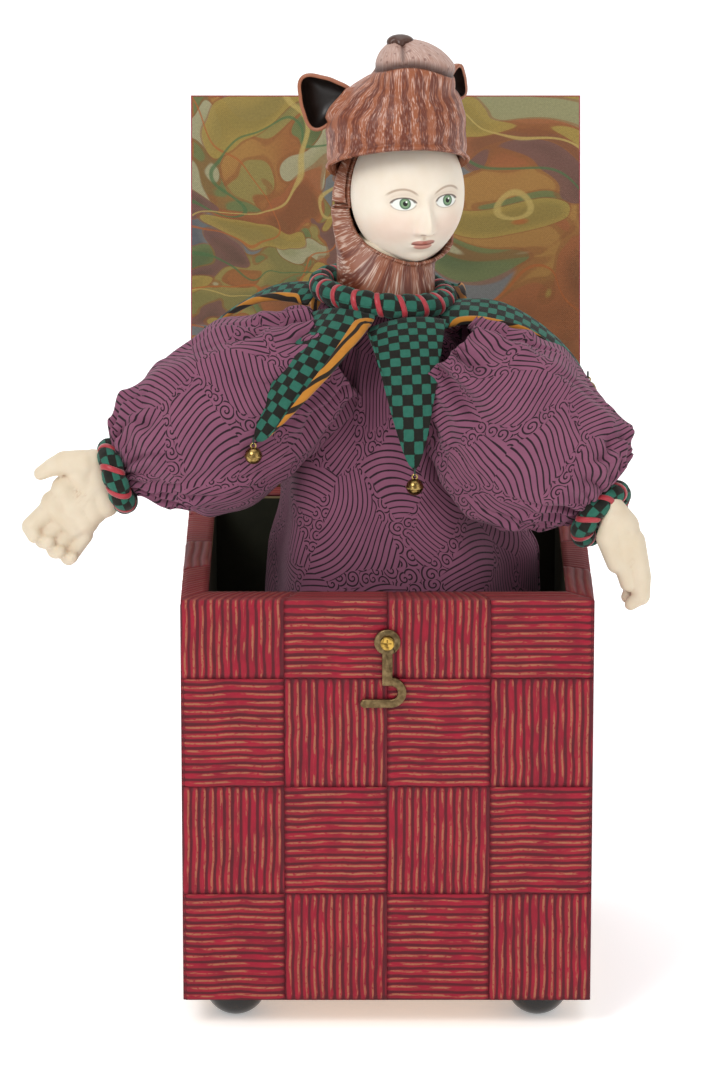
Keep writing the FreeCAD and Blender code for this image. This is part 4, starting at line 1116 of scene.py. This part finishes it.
def face_relief(x, z):
    """How far the face stands out from the egg of the head, x to its side and z up from its eyes."""
    out = 0.0
    bridge = smoothstep(1.5, -8.5, z) * smoothstep(-11.4, -9.6, z)
    nose = (0.9 + 3.9 * bridge) * bell_curve(x, 1.5 + 1.1 * smoothstep(-2, -9, z))
    out += nose * smoothstep(3.5, 0.5, z) * smoothstep(-11.6, -10.2, z)
    for side in (-1, 1):
        out -= 2.1 * bell_curve(x - 7.0 * side, 4.4) * bell_curve(z - 0.9, 3.0)
        out += 1.5 * bell_curve(x - 7.6 * side, 3.3) * bell_curve(z - 0.3, 2.1)
        out += 0.7 * bell_curve(x - 7.5 * side, 5.0) * bell_curve(z - 4.8, 1.8)
        out += 0.9 * bell_curve(x - 2.5 * side, 1.1) * bell_curve(z + 9.4, 1.3)
        out += 0.9 * bell_curve(x - 9.5 * side, 5.0) * bell_curve(z + 7.5, 4.6)
        out += 0.55 * bell_curve(x - 1.5 * side, 1.5) * bell_curve(z + 13.5, 0.8)
        # the upper lid's fold and the lower lid's edge
        lid = math.hypot((x - 7.6 * side) / 3.9, (z - 0.3) / 2.05)
        out += 0.35 * bell_curve(lid - 1.12, 0.13) * (1 if z > 0.3 else 0.55)
    out += 1.1 * bell_curve(x, 4.2) * bell_curve(z + 14.4, 2.3)
    out -= 0.7 * bell_curve(z + 14.45 - 0.012 * x * x, 0.34) * smoothstep(4.6, 3.4, abs(x))
    out += 0.55 * bell_curve(x, 2.6) * bell_curve(z + 15.4, 0.8)
    out -= 0.5 * bell_curve(x, 0.8) * bell_curve(z + 12.2, 0.9)
    out -= 0.7 * bell_curve(x, 3.4) * bell_curve(z + 17.6, 1.1)
    out += 1.8 * bell_curve(x, 4.8) * bell_curve(z + 20.6, 2.9)
    return out


def head():
    """Bisque head and neck: an egg with the face modelled on, turned a little to its left."""
    bm = bmesh.new()
    bmesh.ops.create_icosphere(bm, subdivisions=7, radius=1.0)
    turn = Matrix.Rotation(HEAD_TURN, 3, "Z")
    uv = bm.loops.layers.uv.new("face")
    flat = {}
    for vert in bm.verts:
        d = vert.co.copy()
        jaw = 1 - 0.05 * smoothstep(-0.15, -0.95, d.z)
        x, y, z = HEAD_R[0] * d.x * jaw, HEAD_R[1] * d.y, HEAD_R[2] * d.z
        if d.y < 0:
            y -= face_relief(x, z) * smoothstep(0.0, 0.35, -d.y)
            y *= 1 - 0.10 * smoothstep(-8, -24, z)
            flat[vert.index] = (x, z)
        else:
            flat[vert.index] = (60.0, z)
        vert.co = HEAD + turn @ Vector((x, y, z))
    for face in bm.faces:
        for loop in face.loops:
            loop[uv].uv = flat[loop.vert.index]
    bmesh.ops.recalc_face_normals(bm, faces=bm.faces)
    piece = put("bisque_head", bm, [FACE_CLAY], "figure")
    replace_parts(piece, "head")
    profile = [(8.3, 232.5), (8.5, 233.5), (8.0, 240), (7.6, 248), (8.6, 256), (9.5, 262)]
    neck = turned(profile, 48)
    bmesh.ops.translate(neck, verts=neck.verts, vec=(1, -8, 0))
    piece = put("bisque_neck", neck, [HAND_CLAY], "figure")
    wall(piece, 2.0)


def ellipsoid_reach(origin, way, centre, radii):
    """Distance along a ray to the far side of an ellipsoid, or 0 where it misses."""
    p = [(origin[i] - centre[i]) / radii[i] for i in range(3)]
    d = [way[i] / radii[i] for i in range(3)]
    a = sum(c * c for c in d)
    b = sum(p[i] * d[i] for i in range(3))
    c = sum(q * q for q in p) - 1
    inside = b * b - a * c
    return (-b + math.sqrt(inside)) / a if inside > 0 else 0.0


def soft_max(a, b, blend):
    """The larger of two lengths, with a fillet of about blend where they cross."""
    h = max(blend - abs(a - b), 0.0) / blend
    return max(a, b) + h * h * blend / 4


def hood():
    """The cap's hood: a close shell round the head and neck, open in front of the face."""
    centre = Vector((4.2, -6.5, 272.0))
    axis = Vector((0.36, -0.93, 0.06)).normalized()
    right = axis.cross(Vector((0, 0, 1))).normalized()
    up = right.cross(axis)

    def place(u, v):
        spin = 2 * math.pi * u
        start = 1.72 - 0.78 * smoothstep(0.2, 1.0, -math.sin(spin))
        polar = start + (math.pi - start) * v
        way = axis * math.cos(polar) + (right * math.cos(spin) + up * math.sin(spin)) * math.sin(polar)
        reach = ellipsoid_reach(centre, way, centre, (21.8, 21.8, 27.8))
        # close against the face round the opening, and all down the side away from the cap's ear
        close = ellipsoid_reach(centre, way, HEAD, HEAD_R) + 0.5
        reach += (close - reach) * smoothstep(-0.15, 0.4, way.x)
        flat = Vector((way.x, way.y, 0))
        if way.z < 0 and flat.length > 1e-4:
            # the neck: a tube about its own axis, down to the collar
            p = Vector((centre.x + 0.4, centre.y + 8.0, 0))
            b = p.dot(flat) / flat.length_squared
            c = (p.length_squared - 15.6 ** 2) / flat.length_squared
            tube = -b + math.sqrt(max(b * b - c, 0))
            tube = min(tube, (238.8 - centre.z) / way.z)
            reach = soft_max(reach, tube, 3.0)
        elif way.z < 0:
            reach = (238.8 - centre.z) / way.z
        reach += (close - reach) * smoothstep(0.13, 0.01, v)
        roll = 0.5 * bell_curve((v - 0.012) / 0.02, 1.0)
        strokes = 0.22 * waver(spin * 9, v * 5)
        return centre + way * (reach + roll + strokes)
    bm = mapped(180, 110, place, (150.0, 75.0), joined=True)
    bmesh.ops.recalc_face_normals(bm, faces=bm.faces)
    stripe = bm.verts.layers.float.new("stripe")
    bm.verts.layers.float.new("muzzle")
    bm.verts.layers.float.new("crease")
    for vert in bm.verts:
        vert[stripe] = 0.25 + 0.75 * smoothstep(262, 250, vert.co.z)
    piece = put("glazed_hood", bm, [HOOD_GLAZE], "figure")
    wall(piece, 1.0)
    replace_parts(piece, "hood")


MUZZLE, MUZZLE_R = Vector((6.5, -10.5, 316.2)), (15.6, 15.3, 13.4)
HAT_LEFT = [(284, 2.6), (289, 1.7), (297, 0.9), (305, 0.3), (311, 2.6), (316, 4.2),
            (320.8, 4.6), (327, 3.6)]       # height, mm in from the dome
HAT_RIGHT = [(284, -1.8), (289, -1.8), (297, -0.9), (305, 0.0), (311, 0.5), (316, 0.0),
             (321, 0.4), (327, 0.6)]


def brim_height(x, y):
    return 286.0 + 0.066 * (x - 5.0) - 0.45 * (y + 8.0)


def hat():
    """The animal cap: a dome with a rolled brim, high in front, and a muzzle that looks up."""
    centre = Vector((3.2, -8.0, 293.0))

    def reach_at(way):
        wide = 24.0 + 1.4 * smoothstep(0.25, -0.2, way.z)
        level = math.hypot(way.x, way.y) / wide
        dome = (level ** 2.6 + abs(way.z / 26.0) ** 2.6) ** (-1 / 2.6)
        muzzle = ellipsoid_reach(centre, way, MUZZLE, MUZZLE_R)
        return soft_max(dome, muzzle, 3.0)

    def way_at(azimuth, rise):
        level = math.cos(rise)
        return Vector((math.cos(azimuth) * level, math.sin(azimuth) * level, math.sin(rise)))

    def brim_rise(azimuth):
        low, high = -1.2, 0.9
        for _ in range(26):
            rise = (low + high) / 2
            way = way_at(azimuth, rise)
            point = centre + way * reach_at(way)
            low, high = (rise, high) if point.z < brim_height(point.x, point.y) else (low, rise)
        return rise
    rises = {k: brim_rise(2 * math.pi * k / 200) for k in range(201)}

    def place(u, v):
        azimuth = 2 * math.pi * u
        start = rises[round(u * 200)]
        rise = start + (math.pi / 2 - start) * v
        way = way_at(azimuth, rise)
        reach = reach_at(way)
        roll = 1.1 * bell_curve(v - 0.018, 0.02) - 0.35 * bell_curve(v - 0.06, 0.02)
        strokes = 0.25 * waver(azimuth * 9, v * 5)
        point = centre + way * (reach + roll + strokes)
        point.x += table_value(HAT_LEFT, point.z) * smoothstep(4, -10, point.x)
        point.x += table_value(HAT_RIGHT, point.z) * smoothstep(6, 20, point.x)
        return point
    bm = mapped(200, 120, place, (150.0, 62.0), joined=True)
    bmesh.ops.recalc_face_normals(bm, faces=bm.faces)
    stripe, muzzle, crease = (bm.verts.layers.float.new(n) for n in ("stripe", "muzzle", "crease"))
    for vert in bm.verts:
        p = vert.co
        bend = 0.031 if p.x < 6.8 else 0.024
        above = p.z - (323.6 - bend * (p.x - 6.8) ** 2)
        front = smoothstep(-7, -11, p.y)
        vert[stripe] = smoothstep(2, -6, above) * smoothstep(287, 297, p.z) * smoothstep(-4, -14, p.y)
        vert[muzzle] = smoothstep(-0.4, 0.3, above) * smoothstep(-1, -6, p.y + 1.5 * waver(p.x / 2, p.z / 2))
        vert[muzzle] *= smoothstep(-9, -3, p.x)
        # the mouth is a long arch under an overhanging lip, with a line up to the nose; crease marks both for
        # painted shade
        mouth = bell_curve(above, 0.8) * front * smoothstep(26, 22, p.x) * smoothstep(-12, -8, p.x)
        parting = bell_curve(p.x - 5.2, 0.75) * smoothstep(0, 0.8, above) * front
        vert[crease] = min(1.0, 0.95 * max(mouth, 0.7 * parting))
        lip = 1.3 * smoothstep(-0.3, 0.8, above) * smoothstep(7, 1, above)
        chin = 0.9 * bell_curve(above + 3.0, 2.4)
        way = (p - centre).normalized()
        cleft = 1.1 * bell_curve(p.x - 5.2, 2.4) * smoothstep(-1, 3, above)
        vert.co += way * ((lip + chin - cleft) * front - 0.9 * max(mouth, 0.6 * parting))
    piece = put("glazed_cap", bm, [HAT_GLAZE], "figure")
    wall(piece, 1.7)
    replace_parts(piece, "hat")


def nose():
    """The cap's nose pad, with two nostrils."""
    bm = bmesh.new()
    bmesh.ops.create_icosphere(bm, subdivisions=5, radius=1.0)
    for vert in bm.verts:
        d = vert.co
        wide = 1 + 0.12 * d.z
        x, y, z = 4.6 * d.x * wide, 3.8 * d.y, 3.0 * d.z
        for side in (-1, 1):
            pit = bell_curve(x - 2.0 * side, 0.9) * bell_curve(y + 2.9, 1.6) * bell_curve(z - 0.3, 1.3)
            y += 1.0 * pit
        vert.co = Vector((4.4 + x, -9.5 + y, 328.3 + z))
    bmesh.ops.recalc_face_normals(bm, faces=bm.faces)
    piece = put("glazed_nose", bm, [NOSE_GLAZE], "figure")
    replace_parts(piece, "hat_nose")


def ear(name, middle, right, up, size, depth, lean):
    """A pointed cup: a rounded triangle of rim, drawn back to its root. Dark inside."""
    middle, right, up = Vector(middle), Vector(right).normalized(), Vector(up)
    up = (up - right * up.dot(right)).normalized()
    back = right.cross(up) * -1
    if back.y < 0:
        back = back * -1

    def place(u, v):
        angle = 2 * math.pi * u
        corner = 1 + 0.15 * math.cos(3 * (angle - lean)) + 0.03 * math.cos(6 * (angle - lean))
        reach = size * corner * math.cos(v * math.pi / 2) ** 0.8
        sink = depth * math.sin(v * math.pi / 2)
        return middle + right * reach * math.cos(angle) + up * reach * math.sin(angle) + back * sink
    bm = mapped(72, 26, place, (50.0, 16.0), joined=True)
    bmesh.ops.recalc_face_normals(bm, faces=bm.faces)
    piece = put(name, bm, [EAR_OUT, EAR_IN], "figure")
    wall(piece, 1.2, inner=1, rim=0)
    return piece


def ears():
    for name, middle, right, up, size, depth, lean in (
            ("cap_ear_left", (-21.6, -5.0, 307.9), (0.95, -0.2, -0.1), (0.15, 0.1, 1), 9.2, 9.0, 140),
            ("cap_ear_right", (23.4, 0.0, 312.0), (0.62, 0.75, 0.1), (0.1, 0.0, 1), 6.2, 6.0, 75)):
        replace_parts(ear(name, middle, right, up, size, depth, math.radians(lean)), "hat_ears")


# ------------------------------------------------------------ hands

def clay_hand(name, node, body, y, limbs, creases):
    """A hand modelled as limbs of clay run together and smoothed, with creases pressed in.
    A limb is its two ends, each (x, z, towards the front), and its radius at each."""
    parts = []
    for start, end, first, last in limbs:
        a, b = (Vector((x, y - out, z)) for x, z, out in (start, end))
        steps = max(2, round((b - a).length / 0.8))
        for k in range(steps + 1):
            share = k / steps
            ball = bmesh.new()
            bmesh.ops.create_icosphere(ball, subdivisions=3, radius=first + (last - first) * share)
            bmesh.ops.translate(ball, verts=ball.verts, vec=a.lerp(b, share))
            parts.append(ball)
    piece = put(name, joined_mesh(parts), [HAND_CLAY], body)
    modifier(piece, "REMESH", mode="VOXEL", voxel_size=0.55 * MM, use_smooth_shade=True)
    modifier(piece, "SMOOTH", factor=0.6, iterations=9)
    settle(piece)
    for vert in piece.data.vertices:
        p = Vector(vert.co) / MM
        for (x, z, out), depth, width in creases:
            vert.co += vert.normal * (-depth * MM * bell_curve((p - Vector((x, y - out, z))).length, width))
    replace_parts(piece, node)


def hands():
    """Left: palm to the front, fingers curled over. Right: hanging edge-on, fingers together."""
    clay_hand("bisque_hand_left", "left_hand", "left_arm", -40.6, [
        # heel and palm
        ((-98.5, 191.5, 0), (-94.8, 177.5, 0), 4.8, 5.0), ((-103.8, 190.5, 0), (-98.8, 175.0, 0), 4.8, 5.0),
        ((-108.0, 182.5, 0), (-101.5, 171.5, 0), 4.9, 4.9), ((-112.0, 177.5, 0), (-105.0, 169.5, 0), 4.5, 4.6),
        ((-97.0, 185.0, 0), (-105.0, 176.5, 0), 5.2, 5.2),
        # thumb
        ((-101.5, 191.5, 0.8), (-108.2, 192.0, 1.2), 4.8, 4.0),
        ((-108.2, 192.0, 1.2), (-112.6, 190.3, 1.4), 3.9, 3.1),
        ((-112.6, 190.3, 1.4), (-116.2, 188.2, 1.2), 3.0, 2.4),
        # fingers: knuckle to joint, then curled over towards the palm
        ((-114.5, 174.5, 0), (-119.8, 169.5, 0.5), 3.4, 3.2),
        ((-119.8, 169.5, 0.5), (-118.6, 167.0, 4.2), 3.0, 2.3),
        ((-110.5, 171.0, 0), (-115.6, 164.8, 0.5), 3.3, 3.1),
        ((-115.6, 164.8, 0.5), (-113.8, 165.2, 4.8), 2.9, 2.3),
        ((-106.4, 168.2, 0), (-111.6, 161.2, 0.5), 3.2, 3.0),
        ((-111.6, 161.2, 0.5), (-109.9, 161.9, 4.8), 2.8, 2.2),
        ((-101.8, 166.5, 0), (-107.2, 158.6, 0.4), 3.1, 2.8),
        ((-107.2, 158.6, 0.4), (-105.7, 159.8, 4.2), 2.6, 2.0),
    ], [((-103.5, 181.0, 5.6), 0.9, 4.0), ((-108.0, 187.2, 5.2), 0.5, 2.0), ((-109.5, 176.0, 5.0), 0.5, 1.8)])
    clay_hand("bisque_hand_right", "right_hand", "right_arm", -52.3, [
        ((74.5, 180.5, 0), (78.2, 172.5, 0.4), 3.8, 6.2), ((78.2, 172.5, 0.4), (79.8, 163.5, 0.4), 6.2, 5.8),
        # the ball of the thumb, to the front
        ((75.2, 176.5, 2.4), (74.2, 169.5, 3.0), 3.6, 4.6), ((74.2, 169.5, 3.0), (76.6, 160.8, 3.2), 4.5, 3.4),
        # fingers, one behind the other
        ((82.2, 168.0, 1.6), (84.9, 155.5, 1.8), 4.2, 3.6), ((84.9, 155.5, 1.8), (85.0, 149.0, 1.8), 3.5, 3.2),
        ((85.0, 149.0, 1.8), (81.6, 146.2, 2.0), 2.9, 2.2),
        ((81.2, 164.0, -2.6), (83.6, 153.0, -2.6), 3.8, 3.3),
        ((83.6, 153.0, -2.6), (80.6, 147.4, -2.4), 3.0, 2.2),
        ((78.6, 161.5, 2.6), (80.6, 153.5, 2.4), 3.4, 2.8),
    ], [((80.6, 172.5, 6.2), 0.8, 1.6), ((81.4, 162.0, 6.0), 0.6, 2.0)])


# ------------------------------------------------------------ stage, light and camera

def stage():
    """A pale sweep of paper under soft light."""
    made, tree, shader = material("white backdrop paper", Roughness=0.9, Specular_IOR_Level=0.1,
                                  Emission_Color=(1, 1, 1, 1), Emission_Strength=0.32)
    tone = grain(tree, in_mm(tree), 300, 2)
    feed(tree, shader.inputs["Base Color"], add(tree, "Mix", tone, srgb("#f7f7f7"), srgb("#fdfdfd")))

    def place(u, v):
        x = (u - 0.5) * 9000
        run = v * 9000
        if run < 4500:
            return Vector((x, run - 2600, 0))
        if run < 6000:
            turn = (run - 4500) / 1500 * math.pi / 2
            return Vector((x, 1900 + 955 * math.sin(turn), 955 * (1 - math.cos(turn))))
        return Vector((x, 2855, 955 + run - 6000))
    bm = mapped(2, 90, place)
    floor = put("sweep", bm, [made])


def light(name, at, aim, size, watts):
    data = bpy.data.lights.new(name, "AREA")
    data.shape, data.size, data.size_y, data.energy = "RECTANGLE", size[0], size[1], watts
    lamp = bpy.data.objects.new(name, data)
    lamp.location = at
    lamp.rotation_euler = (Vector(aim) - Vector(at)).to_track_quat("-Z", "Y").to_euler()
    bpy.context.scene.collection.objects.link(lamp)


def camera():
    data = bpy.data.cameras.new("camera")
    data.sensor_fit, data.sensor_width, data.sensor_height = "VERTICAL", 36.0, 36.0
    data.lens = 202.6
    data.clip_start, data.clip_end = 0.05, 20
    view = bpy.data.objects.new("camera", data)
    view.location = (-0.00977, -2.0039, 0.7365)
    view.rotation_euler = (math.radians(73.76), 0, 0)
    bpy.context.scene.collection.objects.link(view)
    bpy.context.scene.camera = view


def studio():
    scene = bpy.context.scene
    scene.view_settings.view_transform = "Standard"
    world = bpy.data.worlds.new("studio")
    scene.world = world
    world.use_nodes = True
    background = world.node_tree.nodes["Background"]
    background.inputs["Color"].default_value = (1, 1, 1, 1)
    background.inputs["Strength"].default_value = 0.5
    light("key", (-0.9, -1.3, 1.5), (0, 0, 0.16), (0.8, 0.8), 19)
    light("fill", (1.3, -1.2, 0.9), (0, 0, 0.16), (1.2, 1.2), 6)
    light("top", (0.1, 0.2, 1.7), (0, 0, 0.1), (1.4, 1.4), 9)


# ------------------------------------------------------------ make everything

camera()
studio()
stage()
box_walls()
lid()
feet()
hardware()
spring()
robe()
sleeve("left")
sleeve("right")
collar()
cuffs()
for point in POINTS:
    collar_point(point)
head()
hood()
hat()
nose()
ears()
hands()
